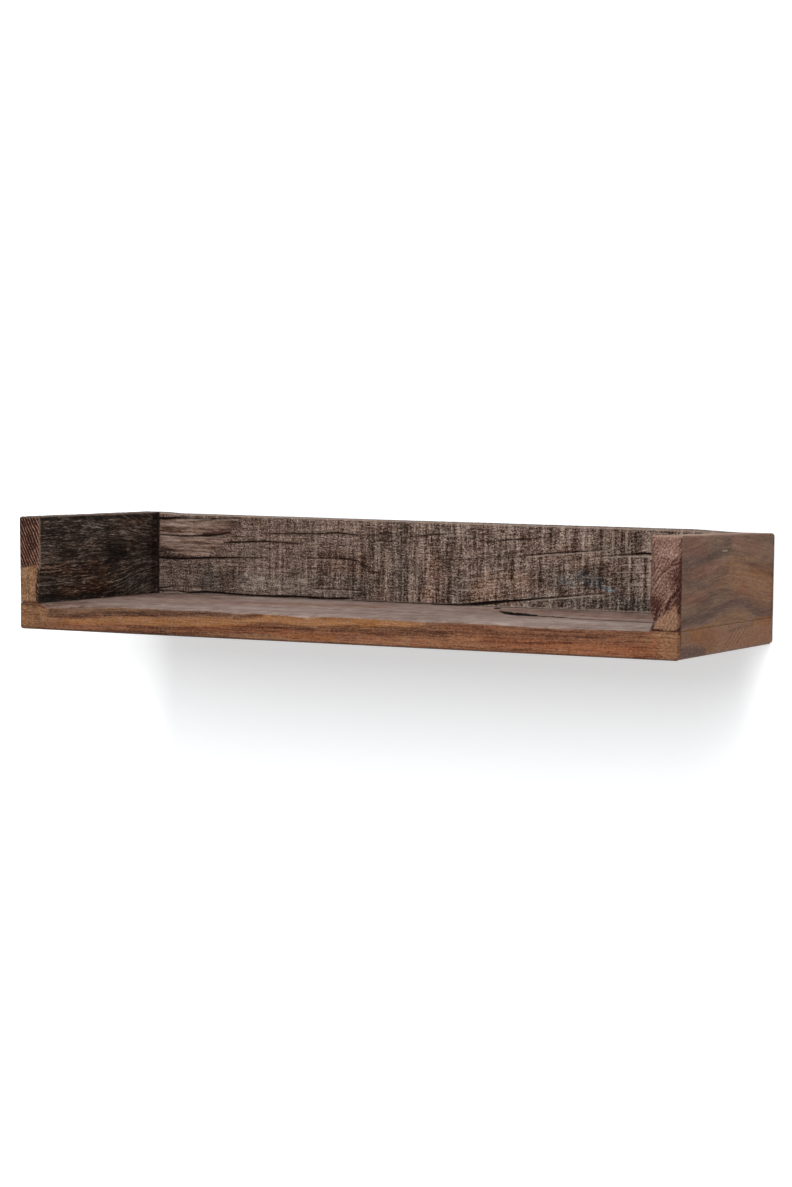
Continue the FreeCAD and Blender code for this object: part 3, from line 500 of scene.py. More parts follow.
# Layers that strokes paint: lighter or darker, warmer or colder and pinker, from -1 to 1, where some dark
# strokes are painted shade;
# then, from 0 to 1, pale (rubbed pale, and in some strokes a painted highlight), torn, sapwood, stained
# blue, sawn, end grain, weathered, and how much relief shows
PAINT_LAYERS = ("tone", "warm", "rosy", "pale", "torn", "tan", "blue", "sawn", "end_grain", "weathered",
                "relief")


def axis_lines(low, high, round_low, round_high, stretches):
    """Grid lines along one axis: close at rounded arrises, then each stretch (end, step) in turn."""
    lines = [low + round_low * share for share in ARRIS_STEPS] if round_low else []
    start, last = low + round_low, high - round_high
    for end, step in stretches:
        end = last if end is None else end
        count = max(1, round((end - start) / step))
        lines += list(np.linspace(start, end, count, endpoint=False))
        start = end
    lines.append(last)
    if round_high:
        lines += [high - round_high * share for share in reversed(ARRIS_STEPS)]
    return np.array(lines)


def new_object(name, points, faces=()):
    """A mesh object of the scene, in metres."""
    mesh = bpy.data.meshes.new(name)
    mesh.from_pydata(points, [], faces)
    made = bpy.data.objects.new(name, mesh)
    bpy.context.scene.collection.objects.link(made)
    return made


class BoardShell:
    """The outer skin of a board on a grid: points in millimetres and faces that point outwards."""

    def __init__(self, grid, rounds):
        self.grid = grid
        self.rounds = rounds
        counts = [len(lines) for lines in grid]
        index = np.full(counts, -1)
        shell = np.zeros(counts, bool)
        for axis in range(3):
            for end in (0, -1):
                shell[tuple(end if a == axis else slice(None) for a in range(3))] = True
        index[shell] = np.arange(shell.sum())
        i, j, k = np.nonzero(shell)
        self.index = index
        self.points = np.stack([grid[0][i], grid[1][j], grid[2][k]], axis=1)
        self.sides = {(axis, end): self.side_faces(axis, end) for axis in range(3) for end in (0, -1)}
        self.extra_faces = []
        self.layers = {}

    def side_faces(self, axis, end):
        """The four-cornered faces of one side, as an array over its two other axes."""
        plane = np.moveaxis(self.index, axis, 0)[end]
        faces = np.stack([plane[:-1, :-1], plane[1:, :-1], plane[1:, 1:], plane[:-1, 1:]], axis=-1)
        outward = (axis != 1) == (end == -1)
        return faces if outward else faces[..., ::-1]

    def limits(self):
        """The lowest and the highest grid line along each axis."""
        return (np.array([lines[end] for lines in self.grid]) for end in (0, -1))

    def round_arrises(self):
        """Rounds the skin's corners off; rounds are (low, high) radii along each axis, 0 for none."""
        low, high = self.limits()
        round_low, round_high = np.array(self.rounds).T
        nearest = np.clip(self.points, low + round_low, high - round_high)
        away = self.points - nearest
        radii = np.where(away < 0, round_low, round_high)
        share = away / np.maximum(radii, 1e-9)
        length = np.linalg.norm(share, axis=1)
        scale = np.where(length > 0, np.abs(share).max(axis=1) / np.maximum(length, 1e-9), 1.0)
        self.points = nearest + away * scale[:, None]

    def round_corner(self, first, second, radius):
        """Rounds the outline's corner between two sides, each an (axis, end), off to a radius."""
        (a, end_a), (b, end_b) = first, second
        away = []
        for axis, end in ((a, end_a), (b, end_b)):
            reach = (self.points[:, axis] - self.grid[axis][end]) * (1 if end else -1) + radius
            away.append(np.clip(reach, 0, None) / radius)
        length = np.hypot(*away)
        scale = np.where(np.minimum(*away) > 0, np.maximum(*away) / np.maximum(length, 1e-9), 1.0)
        for axis, end, share in ((a, end_a, away[0]), (b, end_b, away[1])):
            self.points[:, axis] += (scale - 1) * share * radius * (1 if end else -1)

    def near_arris(self):
        """Distance of each point to the nearest arris, before the skin is moved."""
        low, high = self.limits()
        gaps = np.minimum(self.points - low, high - self.points)
        return np.sort(gaps, axis=1)[:, 1]

    def open_side(self, side, holes):
        """Replaces one flat side, inside its rounded rim, by a face with sunk holes.

        Each hole is a list of loops of points, from the rim at the surface to the floor."""
        axis, end = side
        rounds = [self.rounds[a] for a in range(3) if a != axis]
        skips = [[len(ARRIS_STEPS) if radius else 0 for radius in pair] for pair in rounds]
        faces = self.sides[side]
        plane = np.moveaxis(self.index, axis, 0)[end]
        flat = [slice(first, count - last) for (first, last), count in zip(skips, plane.shape)]
        inner = plane[tuple(flat)]
        loop = np.concatenate([inner[:-1, 0], inner[-1, :-1], inner[:0:-1, -1], inner[0, :0:-1]])
        kept = np.ones(faces.shape[:2], bool)
        kept[tuple(slice(part.start, part.stop - 1) for part in flat)] = False
        self.sides[side] = faces[kept]
        self.layers["arris"][loop] = UNWORN
        normal = Vector([(-1.0 if end == 0 else 1.0) if a == axis else 0.0 for a in range(3)])
        rims = [self.add_points(hole[0]) for hole in holes]
        self.fill(loop, rims, normal)
        for above, hole in zip(rims, holes):
            for ring in hole[1:]:
                below = self.add_points(ring)
                after_above, after_below = np.roll(above, -1), np.roll(below, -1)
                self.extra_faces += zip(above, after_above, after_below, below)
                above = below
            self.extra_faces.append(tuple(above))

    def add_points(self, points):
        """Adds points like their nearest ones, but without crack, wear or relief; returns their numbers."""
        added = np.array(points, float)
        near = np.array([((self.points - point) ** 2).sum(axis=1).argmin() for point in added])
        bare = {"crack": UNCRACKED, "arris": UNWORN, "relief": 0.0}
        for name, values in self.layers.items():
            carried = values[near] + (added - self.points[near] if name == "flow" else 0)
            more = np.full(len(added), bare[name]) if name in bare else carried
            self.layers[name] = np.concatenate([values, more])
        start = len(self.points)
        self.points = np.concatenate([self.points, added])
        return np.arange(start, len(self.points))

    def fill(self, loop, rims, normal):
        """Triangles between an outer loop of points and the rims of the holes in it."""
        mesh = bmesh.new()
        corners, edges = [], []
        for ring in (loop, *rims):
            made = [mesh.verts.new(self.points[n]) for n in ring]
            edges += [mesh.edges.new((a, b)) for a, b in zip(made, made[1:] + made[:1])]
            corners += list(ring)
        mesh.verts.index_update()
        bmesh.ops.triangle_fill(mesh, use_beauty=True, use_dissolve=False, edges=edges, normal=normal)
        for face in mesh.faces:
            face.normal_update()
            order = [corners[vert.index] for vert in face.verts]
            self.extra_faces.append(tuple(order if face.normal.dot(normal) > 0 else order[::-1]))
        mesh.free()

    def object(self, name):
        """The board as a Blender object, in metres, with its layers as attributes."""
        quads = np.concatenate([faces.reshape(-1, 4) for faces in self.sides.values()])
        faces = quads.tolist() + [list(map(int, face)) for face in self.extra_faces]
        made = new_object(name, (self.points * MM).tolist(), faces)
        for layer, values in self.layers.items():
            kind, field = ("FLOAT_VECTOR", "vector") if values.ndim == 2 else ("FLOAT", "value")
            attribute = made.data.attributes.new(layer, kind, "POINT")
            attribute.data.foreach_set(field, values.astype(np.float32).ravel())
        return made


def start_board(grid, rounds):
    """A board's skin with empty layers; flow is the grain's own run, its first value along the grain."""
    shell = BoardShell(grid, rounds)
    count = len(shell.points)
    for layer in PAINT_LAYERS:
        shell.layers[layer] = np.zeros(count)
    shell.layers["relief"][:] = 1.0
    shell.layers["crack"] = np.full(count, UNCRACKED)
    shell.layers["arris"] = shell.near_arris()
    shell.layers["flow"] = np.zeros((count, 3))
    return shell


def finish_layers(shell):
    """Keeps the crack layer to a few millimetres round each crack and puts the flow in metres."""
    shell.layers["crack"] = np.clip(shell.layers["crack"], -4.0, 4.0)
    shell.layers["arris"] = np.clip(shell.layers["arris"], 0.0, UNWORN)
    shell.layers["flow"] = shell.layers["flow"] * MM
    return shell


def hole_ring(axis, level, across, along, radius, reach=0.0, corners=28):
    """A round hole's outline, or a slot's that reaches along by reach at both ends, on a board's side."""
    ring = []
    for n in range(corners):
        turn = 2 * math.pi * (n + 0.5) / corners
        u = across + radius * math.cos(turn)
        v = along - radius * math.sin(turn) - math.copysign(reach, math.sin(turn))
        ring.append((u, v, level) if axis == 2 else (u, level, v))
    return ring


def shell_base_board(settings):
    """The base: full width, planed front edge and ends, weathered top with a gash and a worn arris."""
    r = settings.arris_radius / MM
    grid = (axis_lines(-HALF_WIDTH, HALF_WIDTH, r, r, ((None, 2.2),)),
            axis_lines(FRONT, 0, r, r, ((-136, 2.6), (-64, 1.5), (None, 2.8))),
            axis_lines(UNDERSIDE, BASE_TOP, 1.5 * r, .25, ((None, 1.3),)))
    shell = start_board(grid, ((r, r), (r, r), (1.5 * r, .25)))
    x, y, z = shell.points.T.copy()
    layers = shell.layers
    wave = unevenness(shell.points, (160, 60, 12), seed=1)
    layers["flow"] = np.stack([x, y + 4 * wave, z + 2.2 * wave], axis=1)
    across, along, up = x + HALF_WIDTH, y - FRONT, z - UNDERSIDE

    # Paint: the top is weathered between the end boards
    layers["weathered"][:] = smooth((z - BASE_TOP + .8) / .8) * ((x > LEFT_INNER) & (x < RIGHT_INNER))
    layers["end_grain"][:] = smooth(np.abs(x) - HALF_WIDTH + 1)
    paint_face(layers, along < r + HAIR, (across, up), BASE_FRONT_PAINT)
    for side in (-1, 1):
        paint_face(layers, side * x > HALF_WIDTH - HAIR, (along, up), BASE_END_PAINT)
    paint_face(layers, z > BASE_TOP - r - HAIR, (across, along), BASE_TOP_PAINT)
    top = z > BASE_TOP - HAIR
    under_ends = (x < LEFT_INNER) | (x > RIGHT_INNER)
    depth = np.where(under_ends, 0, crack_face(layers, top, (across, along), BASE_GASH))
    layers["crack"][top] += np.where(under_ends[top], UNCRACKED, .9)
    layers["arris"] = np.where(under_ends & (z > BASE_TOP - 6), UNWORN, layers["arris"])

    # Shape: the gash sinks in, and the front arris is worn down and a little back between the end boards
    shell.round_arrises()
    for side, radius in BASE_CORNERS.items():
        shell.round_corner(side, UNDER, radius)
    shell.points[:, 2] -= depth
    worn = (np.clip(np.interp(x, *zip(*BASE_ARRIS_DROP)), 0, None) + .2) * settings.wear
    worn *= smooth((RIGHT_INNER + 1 - x) / 3) * smooth((x + 1 - LEFT_INNER) / 3)
    shell.points[:, 2] -= worn * (1 - smooth(along / 11)) * smooth((up - 8) / 16)
    shell.points[:, 1] += .5 * worn * (1 - smooth(along / 6)) * smooth((z - BASE_TOP + 8) / 8)
    layers["relief"] = np.where(top & under_ends, 0, layers["relief"])

    # Holes for the screws that come up from below
    holes = []
    for name in BASE_SCREWS:
        low, high = (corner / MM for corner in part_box(name))
        middle = (low + high) / 2
        levels = ((UNDERSIDE, SCREW_HEAD_HOLE), (low.z, SCREW_HEAD_HOLE),
                  *((low.z + depth, SCREW_THREAD_HOLE) for depth in SCREW_HEAD_DEPTHS))
        holes.append([hole_ring(2, level, middle.x, middle.y, radius) for level, radius in levels])
    shell.open_side(UNDER, holes)
    return finish_layers(shell)


def shell_back_board(settings):
    """The back board: rough-sawn and cracked, its top worn, the keyhole plates let into its rear."""
    r = BACK_ARRIS
    tall, short = BACK_HEIGHTS
    top = BASE_TOP + tall
    grid = (axis_lines(LEFT_INNER, RIGHT_INNER, 0, 0, ((None, 1.25),)),
            axis_lines(BACK_FRONT, 0, r, r, ((None, 1.6),)),
            axis_lines(BASE_TOP, top, 0, r, ((None, .75),)))
    shell = start_board(grid, ((0, 0), (r, r), (0, r)))
    x, y, z = shell.points.T.copy()
    layers = shell.layers
    along, up = x - LEFT_INNER, z - BASE_TOP

    # Paint: towards the right the grain rises and the saw marks grow clearer
    wave = unevenness(np.stack([x, y * 3, z], axis=1), (90, 60, 26), seed=2)
    layers["flow"] = np.stack([x, y, z + 1.6 * wave - .1 * np.clip(along - 360, 0, None)], axis=1)
    layers["sawn"] = np.interp(along, (0, 110, 210, 320), (.25, .4, .75, 1))
    edges = (x < LEFT_INNER + HAIR) | (x > RIGHT_INNER - HAIR)
    near_front = y < BACK_FRONT + r + HAIR
    paint_face(layers, near_front, (along, up), BACK_PAINT)
    depth = crack_face(layers, near_front, (along, up), BACK_CRACKS)
    ridges = unevenness(np.stack([x, z * 0, z], axis=1), (34, 1, 4.6), seed=3)
    depth = np.maximum(depth, layers["torn"] * (1.3 + .5 * ridges) * near_front) * ~edges

    # Shape: cracks and torn fibres sink in, the top is nicked and lower at the right, and the ends lie
    # against the leaning end boards
    nicks = unevenness(shell.points, (11, 200, 200), octaves=3, seed=4)
    nicks = np.clip(nicks - .12, 0, None) * settings.wear
    shell.round_arrises()
    shell.points[:, 1] += depth * smooth((-y - 2) / 8)
    share_up = up / tall
    near_top = smooth((z - top + 9) / 9) * (1 - smooth((y - BACK_FRONT) / 7))
    shell.points[:, 2] -= .25 * nicks * near_top
    shell.points[:, 2] += share_up * (.9 * (1 - smooth(along / 26)) - 1.7 * smooth((along - 590) / 56))
    shell.points[:, 2] -= (tall - short) * along / (RIGHT_INNER - LEFT_INNER) * share_up
    shell.points[:, 0] += np.where(x < 0, -LEFT_END["lean"], RIGHT_END["lean"]) * share_up * edges

    # Recesses for the keyhole plates, and pockets in them for the wall screws' heads
    holes = []
    for name in PLATES:
        low, high = (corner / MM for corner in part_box(name))
        middle, reach = (low + high) / 2, (high.z - low.z - high.x + low.x) / 2
        above, radius, depth = HEAD_POCKET
        recess = [hole_ring(1, level, middle.x, middle.z, PLATE_RECESS, reach, 36)
                  for level in (0, -PLATE_THICKNESS)]
        pocket = [hole_ring(1, level, middle.x, above, radius, above, 36)
                  for level in (-PLATE_THICKNESS, -depth)]
        holes.append(recess + pocket)
    shell.open_side(REAR, holes)
    return finish_layers(shell)


def shell_end_board(settings, side, sizes):
    """An end board: side is -1 for the left and 1 for the right; its top is hand-cut and it leans out."""
    r = settings.arris_radius / MM
    inner, outer = (LEFT_INNER, -HALF_WIDTH) if side < 0 else (RIGHT_INNER, HALF_WIDTH)
    low, high = min(inner, outer), max(inner, outer)
    top = BASE_TOP + sizes["height"]
    grid = (axis_lines(low, high, r, r, ((None, 1.5),)),
            axis_lines(FRONT, 0, r, r, ((None, 1.6),)),
            axis_lines(BASE_TOP, top, .2, 1.3 * r, ((None, 1.2),)))
    shell = start_board(grid, ((r, r), (r, r), (.2, 1.3 * r)))
    x, y, z = shell.points.T.copy()
    layers = shell.layers
    layers["end_grain"][:] = np.maximum(smooth((FRONT + 1.2 - y) / 1.2), smooth((y + 1.2) / 1.2))
    from_inner, from_outer = np.abs(x - inner), np.abs(x - outer)
    front = y < FRONT + r + HAIR
    along, up = y - FRONT, z - BASE_TOP

    # Paint: the left board's grain closes up towards the rear, over a strip of sapwood, and the right
    # board's grain arches over its outer face
    wave = unevenness(shell.points, (40, 70, 14), seed=5 + side)
    layers["weathered"][:] = smooth(1 - from_inner / 2.5)
    unworn = (up < 4) | ((up < 34) & (along < 8) if side < 0 else (along < 6) & (from_outer < 6))
    layers["arris"] = np.where(unworn, UNWORN, layers["arris"])
    if side < 0:
        spread = np.interp(along, (100, 215), (1.0, 1.8))
        opening = 1.5 * np.exp(-((along - 145) / 26) ** 2) * (up - 47) / 10
        bent = (up - 45) * spread + 45 + 1.8 * wave - opening
        layers["flow"] = np.stack([along, x - inner + .5 * bent, bent], axis=1)
        paint_face(layers, from_inner < r + HAIR, (along, up), LEFT_INNER_PAINT)
        paint_face(layers, front, (from_outer, up), LEFT_FRONT_PAINT)
        layers["tan"] *= np.where(front, smooth((from_inner - 4.2 + 1.5 * wave) / 1.4), 1)
        sap_edge = 36 + (2.5 + 5 * smooth((along - 8) / 40)) * wave - 8 * smooth((along - 40) / 160)
        below = smooth((sap_edge - up) / 5) * smooth((from_inner - 5) / 4)
        layers["tan"] = np.where(front, layers["tan"], np.maximum(layers["tan"], below))
    else:
        arch = 12 * np.exp(-((along - 115) / 80) ** 2)
        bent = up - arch * smooth(from_inner / 14) + 1.5 * wave
        layers["flow"] = np.stack([along, from_inner, bent], axis=1)
        paint_face(layers, from_outer < r + HAIR, (along, z - UNDERSIDE), RIGHT_OUTER_PAINT)
        paint_face(layers, front, (from_inner, up), RIGHT_FRONT_PAINT)
        layers["rosy"] = np.maximum(layers["rosy"], .8 * smooth((z - top + 1.4) / 1.2))
    rim = unevenness(shell.points, (30, 30, 90), seed=12 + side)
    rubbed = (.35 + .4 * rim) * smooth((z - top + .9) / .8) * (from_outer > .8)
    layers["pale"] = np.maximum(layers["pale"], rubbed)

    # Shape: the top is nicked, and the inner face is worn hollow near the front, low on the left board
    # and in a groove along the foot of the right one
    shell.round_arrises()
    shell.round_corner(REAR, ABOVE, sizes["rear_corner"])
    shell.round_corner(LEFT if side < 0 else RIGHT, ABOVE, sizes["outer_corner"])
    nicks = unevenness(shell.points, (30, 12, 30), octaves=3, seed=8 + side)
    nicks = np.clip(nicks - .15, 0, None) * settings.wear
    shell.points[:, 2] -= .6 * nicks * smooth((z - top + 8) / 8)
    near_front = 1 - smooth((along - 12) / 60)
    near_inner = smooth(1 - from_inner / 12)
    wobble = .8 * unevenness(np.stack([x, y, z], axis=1), (200, 60, 9), seed=15 + side)
    if side < 0:
        worn = -2.6 * smooth((46 - up) / 40) + wobble
    else:
        worn = 3.2 * np.exp(-((up - 9) / 6.5) ** 2) + wobble
    shell.points[:, 0] += worn * near_front * near_inner * settings.wear * smooth(up / 2.5)

    # The top falls to the rear and the board leans out
    share = up / sizes["height"]
    shell.points[:, 2] -= sizes["rear_drop"] * along / -FRONT * share
    shell.points[:, 0] += side * sizes["lean"] * share
    return finish_layers(shell)


# Node trees

GEOMETRY, VECTOR, FLOAT = "NodeSocketGeometry", "NodeSocketVector", "NodeSocketFloat"
FINISH = "NodeSocketMaterial"


def fill_in(tree, node, inputs):
    """Gives a node its inputs; each is a plain value or another node's socket."""
    for key, value in inputs.items():
        if isinstance(value, bpy.types.NodeSocket):
            tree.links.new(value, node.inputs[key])
        else:
            node.inputs[key].default_value = value


def add(tree, kind, inputs=None, **settings):
    """A node with its settings and inputs."""
    node = tree.nodes.new(kind)
    for name, value in settings.items():
        setattr(node, name, value)
    fill_in(tree, node, inputs or {})
    return node


def maths(tree, operation, *values, clamp=False):
    """One step of arithmetic on up to three values."""
    step = add(tree, "ShaderNodeMath", dict(enumerate(values)), operation=operation, use_clamp=clamp)
    return step.outputs[0]


def times(tree, first, second):
    """Two values multiplied."""
    return maths(tree, "MULTIPLY", first, second)


def plus(tree, first, second):
    """Two values added."""
    return maths(tree, "ADD", first, second)


def minus(tree, first, second=.5):
    """A value less another, or how far a 0 to 1 value lies from its middle."""
    return maths(tree, "SUBTRACT", first, second)


def times_plus(tree, first, second, third):
    """Two values multiplied, and a third added."""
    return maths(tree, "MULTIPLY_ADD", first, second, third)


def weigh(tree, start, swings, amounts=()):
    """A start value, plus each 0 to 1 swing about its middle and each amount, as (socket, weight)."""
    total = start
    for socket, weight in swings:
        total = times_plus(tree, minus(tree, socket), weight, total)
    for socket, weight in amounts:
        total = times_plus(tree, socket, weight, total)
    return total


def step_between(tree, value, low, high, to_low=0.0, to_high=1.0):
    """An eased step of a value between two limits."""
    limits = {"Value": value, "From Min": low, "From Max": high, "To Min": to_low, "To Max": to_high}
    return add(tree, "ShaderNodeMapRange", limits, interpolation_type="SMOOTHSTEP").outputs["Result"]


def mottle(tree, vector, sizes, seed, detail=3.0, roughness=.55, distortion=0.0):
    """Noise of 0 to 1 on a vector, with one size for each of its three values."""
    parts = add(tree, "ShaderNodeCombineXYZ", dict(enumerate(sizes))).outputs[0]
    run = add(tree, "ShaderNodeVectorMath", {0: vector, 1: parts}, operation="DIVIDE").outputs["Vector"]
    noise_inputs = {"Vector": run, "W": seed, "Scale": 1.0, "Detail": detail, "Roughness": roughness,
                    "Distortion": distortion}
    return add(tree, "ShaderNodeTexNoise", noise_inputs, noise_dimensions="4D").outputs["Fac"]


def stretch(tree, value, contrast):
    """A 0 to 1 value with more contrast about its middle."""
    return maths(tree, "MULTIPLY_ADD", minus(tree, value), contrast, .5, clamp=True)


def mix_values(tree, share, first, second):
    """Two values mixed by a share."""
    return add(tree, "ShaderNodeMix", {0: share, 2: first, 3: second}, data_type="FLOAT").outputs[0]


def mix_colours(tree, share, first, second, blend="MIX"):
    """Two colours mixed by a share, which is kept to 0 to 1; each is a socket or a paint chip."""
    first, second = (srgb(*colour) if isinstance(colour, tuple) else colour for colour in (first, second))
    mixed = add(tree, "ShaderNodeMix", data_type="RGBA", blend_type=blend, clamp_factor=True)
    fill_in(tree, mixed, {0: share, 6: first, 7: second})
    return mixed.outputs[2]


def coat(tree, colour, *coats):
    """A colour under coats of others, each a (mask, share, colour), the last on top."""
    for mask, share, over in coats:
        colour = mix_colours(tree, times(tree, mask, share), colour, over)
    return colour


def tint(tree, warm, colour, warmer, colder, amount):
    """Tints a colour: the warm layer above zero brings the warmer chip in, below zero the colder one."""
    above = maths(tree, "MULTIPLY", warm, amount, clamp=True)
    below = maths(tree, "MULTIPLY", warm, -amount, clamp=True)
    return mix_colours(tree, below, mix_colours(tree, above, colour, warmer, "MULTIPLY"), colder, "MULTIPLY")


def two_hues(tree, place, warm, amount):
    """The warm layer with small patches to either side of it."""
    patches = stretch(tree, mottle(tree, place, (.007, .007, .004), 75.0, 3.0, .6), 2.4)
    return times_plus(tree, minus(tree, patches), amount * 2, warm)


def ramp(tree, value, *chips):
    """A colour ramp; a chip is a place from 0 to 1 and its red, green and blue."""
    node = add(tree, "ShaderNodeValToRGB", {"Fac": value})
    stops = node.color_ramp.elements
    while len(stops) < len(chips):
        stops.new(.5)
    for stop, (place, *chip) in zip(stops, chips):
        stop.position = place
        stop.color = srgb(*chip)
    return node.outputs["Color"]


def layer_of(tree, name, output="Fac"):
    """A painted layer of the board."""
    return add(tree, "ShaderNodeAttribute", attribute_name=name, attribute_type="GEOMETRY").outputs[output]


def split(tree, vector):
    """The three values of a vector."""
    return tuple(add(tree, "ShaderNodeSeparateXYZ", {0: vector}).outputs)


def own_place(tree):
    """Where a point lies in the frame of the whole shelf."""
    return add(tree, "ShaderNodeTexCoord").outputs["Object"]


def new_group(name, inputs, outputs, kind="ShaderNodeTree"):
    """An empty node group. Its inputs are name: default, or name: kind of socket; its outputs name: kind."""
    group = bpy.data.node_groups.new(name, kind)
    for title, default in inputs.items():
        plain = not isinstance(default, str)
        socket = group.interface.new_socket(title, in_out="INPUT", socket_type=FLOAT if plain else default)
        if plain:
            socket.default_value = default
    for title, socket_type in outputs.items():
        group.interface.new_socket(title, in_out="OUTPUT", socket_type=socket_type)
    given = tuple(group.nodes.new("NodeGroupInput").outputs)[:len(inputs)]
    return group, given, group.nodes.new("NodeGroupOutput")


def place_group(tree, group, **inputs):
    """A copy of a group in a material, with its own values."""
    return add(tree, "ShaderNodeGroup", inputs, node_tree=group).outputs


# Effects that the boards share

def long_grain_group():
    """Streaks, fine fibres and short dark pores that run along a board's grain."""
    group, (flow, length, width, seed), result = new_group(
        "Long grain", {"Flow": VECTOR, "Length": .06, "Width": .003, "Seed": 0.0},
        {"Streak": FLOAT, "Fibre": FLOAT, "Pore": FLOAT})

    def run(long_share, wide_share, later, detail, roughness, distortion=0.0):
        wide = times(group, width, wide_share)
        sizes = (times(group, length, long_share), wide, wide)
        return mottle(group, flow, sizes, plus(group, seed, later), detail, roughness, distortion)

    fill_in(group, result, {
        "Streak": stretch(group, run(1.0, 1.0, 0.0, 3.0, .6, .25), 1.7),
        "Fibre": stretch(group, run(.2, .5, 3.7, 3.0, .7), 1.7),
        "Pore": step_between(group, run(.08, .4, 9.1, 1.0, .5), .56, .68)})
    return group


def saw_marks_group():
    """Upright marks of a frame saw, broken up by the fibres that lie across them."""
    group, (place, spacing, reach, dash, seed), result = new_group(
        "Saw marks", {"Place": VECTOR, "Spacing": .005, "Reach": .045, "Dash": .0015, "Seed": 0.0},
        {"Marks": FLOAT, "Bands": FLOAT, "Dashes": FLOAT})
    bend = add(group, "ShaderNodeCombineXYZ", {
        0: times(group, mottle(group, place, (.03, .03, .03), seed, 1.0), spacing)}).outputs[0]
    bent = add(group, "ShaderNodeVectorMath", {0: place, 1: bend}, operation="ADD").outputs["Vector"]

    def marks(width_share, height, later, detail, roughness, contrast):
        sizes = (times(group, spacing, width_share), height, height)
        waves = mottle(group, bent, sizes, plus(group, seed, later), detail, roughness)
        return stretch(group, waves, contrast)

    fill_in(group, result, {
        "Marks": marks(1.0, reach, 2.3, 2.0, .6, 1.7), "Bands": marks(4.5, reach, 5.9, 1.5, .55, 1.6),
        "Dashes": marks(.75, dash, 8.2, 1.5, .6, 1.8)})
    return group


def crack_shade_group():
    """Painted shade inside a crack, from the crack layer in millimetres, with a ragged edge: dark within it
    and a softer rim round it.
    """
    group, (crack, flow, ragged), result = new_group(
        "Crack shade", {"Crack": -4.0, "Flow": VECTOR, "Ragged": .5}, {"Dark": FLOAT, "Edge": FLOAT})
    rough = minus(group, mottle(group, flow, (.006, .0012, .0012), 1.7, 3.0, .6))
    shifted = times_plus(group, rough, times(group, ragged, 3.0), crack)
    fill_in(group, result, {"Dark": step_between(group, shifted, -.3, .45),
                            "Edge": step_between(group, shifted, -1.6, -.3)})
    return group


def worn_arris_group():
    """Where a board's arris is rubbed, from the arris layer in millimetres."""
    group, (arris, place, width, breaks), result = new_group(
        "Worn arris", {"Arris": 9.0, "Place": VECTOR, "Width": 2.0, "Breaks": .5}, {"Worn": FLOAT})
    patchy = minus(group, mottle(group, place, (.012, .012, .012), 4.4, 4.0, .6))
    near = minus(group, 1.0, maths(group, "DIVIDE", arris, width))
    shifted = times_plus(group, patchy, times(group, breaks, 4.0), near)
    fill_in(group, result, {"Worn": step_between(group, shifted, .1, .8)})
    return group


def growth_rings_group():
    """Growth rings cut across: even, pale early wood with a thin dark line at the end of each year."""
    group, (reach, year, place, wobble), result = new_group(
        "Growth rings", {"Reach": 0.0, "Year": .003, "Place": VECTOR, "Wobble": .4},
        {"Ring": FLOAT, "Line": FLOAT})
    sway = minus(group, mottle(group, place, (.012, .03, .012), 7.3, 2.0))
    years = times_plus(group, sway, times(group, wobble, 4.0), maths(group, "DIVIDE", reach, year))
    ring = maths(group, "FRACT", years)
    rise, fall = step_between(group, ring, .45, .86), step_between(group, ring, .88, 1.0, 1.0, 0.0)
    fill_in(group, result, {"Ring": ring, "Line": times(group, rise, fall)})
    return group


# Materials

def start_material(name):
    """An empty material and its tree."""
    material = bpy.data.materials.new(name)
    material.use_nodes = True
    material.node_tree.nodes.clear()
    return material, material.node_tree


def finish_material(tree, colour, roughness, heights, specular=.1, metallic=0.0):
    """The surface; heights are (height socket, depth in metres), largest first."""
    bumps = {}
    for height, depth in heights:
        bump = add(tree, "ShaderNodeBump", {"Height": height, "Distance": depth, "Strength": 1.0, **bumps})
        bumps = {"Normal": bump.outputs["Normal"]}
    shader = add(tree, "ShaderNodeBsdfPrincipled", {
        "Base Color": colour, "Roughness": roughness, "Metallic": metallic,
        "Specular IOR Level": specular, **bumps})
    add(tree, "ShaderNodeOutputMaterial", {"Surface": shader.outputs[0]})


def board_inputs(tree, groups, length, width, seed, ragged, arris, breaks=.5):
    """The layers, grain, cracks and arris wear that each board's material starts from."""
    layers = {name: layer_of(tree, name) for name in PAINT_LAYERS + ("crack", "arris")}
    flow, place = layer_of(tree, "flow", "Vector"), own_place(tree)
    grain = place_group(tree, groups["Long grain"], Flow=flow, Length=length, Width=width, Seed=seed)
    crack = place_group(tree, groups["Crack shade"], Crack=layers["crack"], Flow=flow, Ragged=ragged)
    worn = place_group(tree, groups["Worn arris"], Arris=layers["arris"], Place=place, Width=arris,
                       Breaks=breaks)["Worn"]
    return layers, flow, place, grain, crack, worn


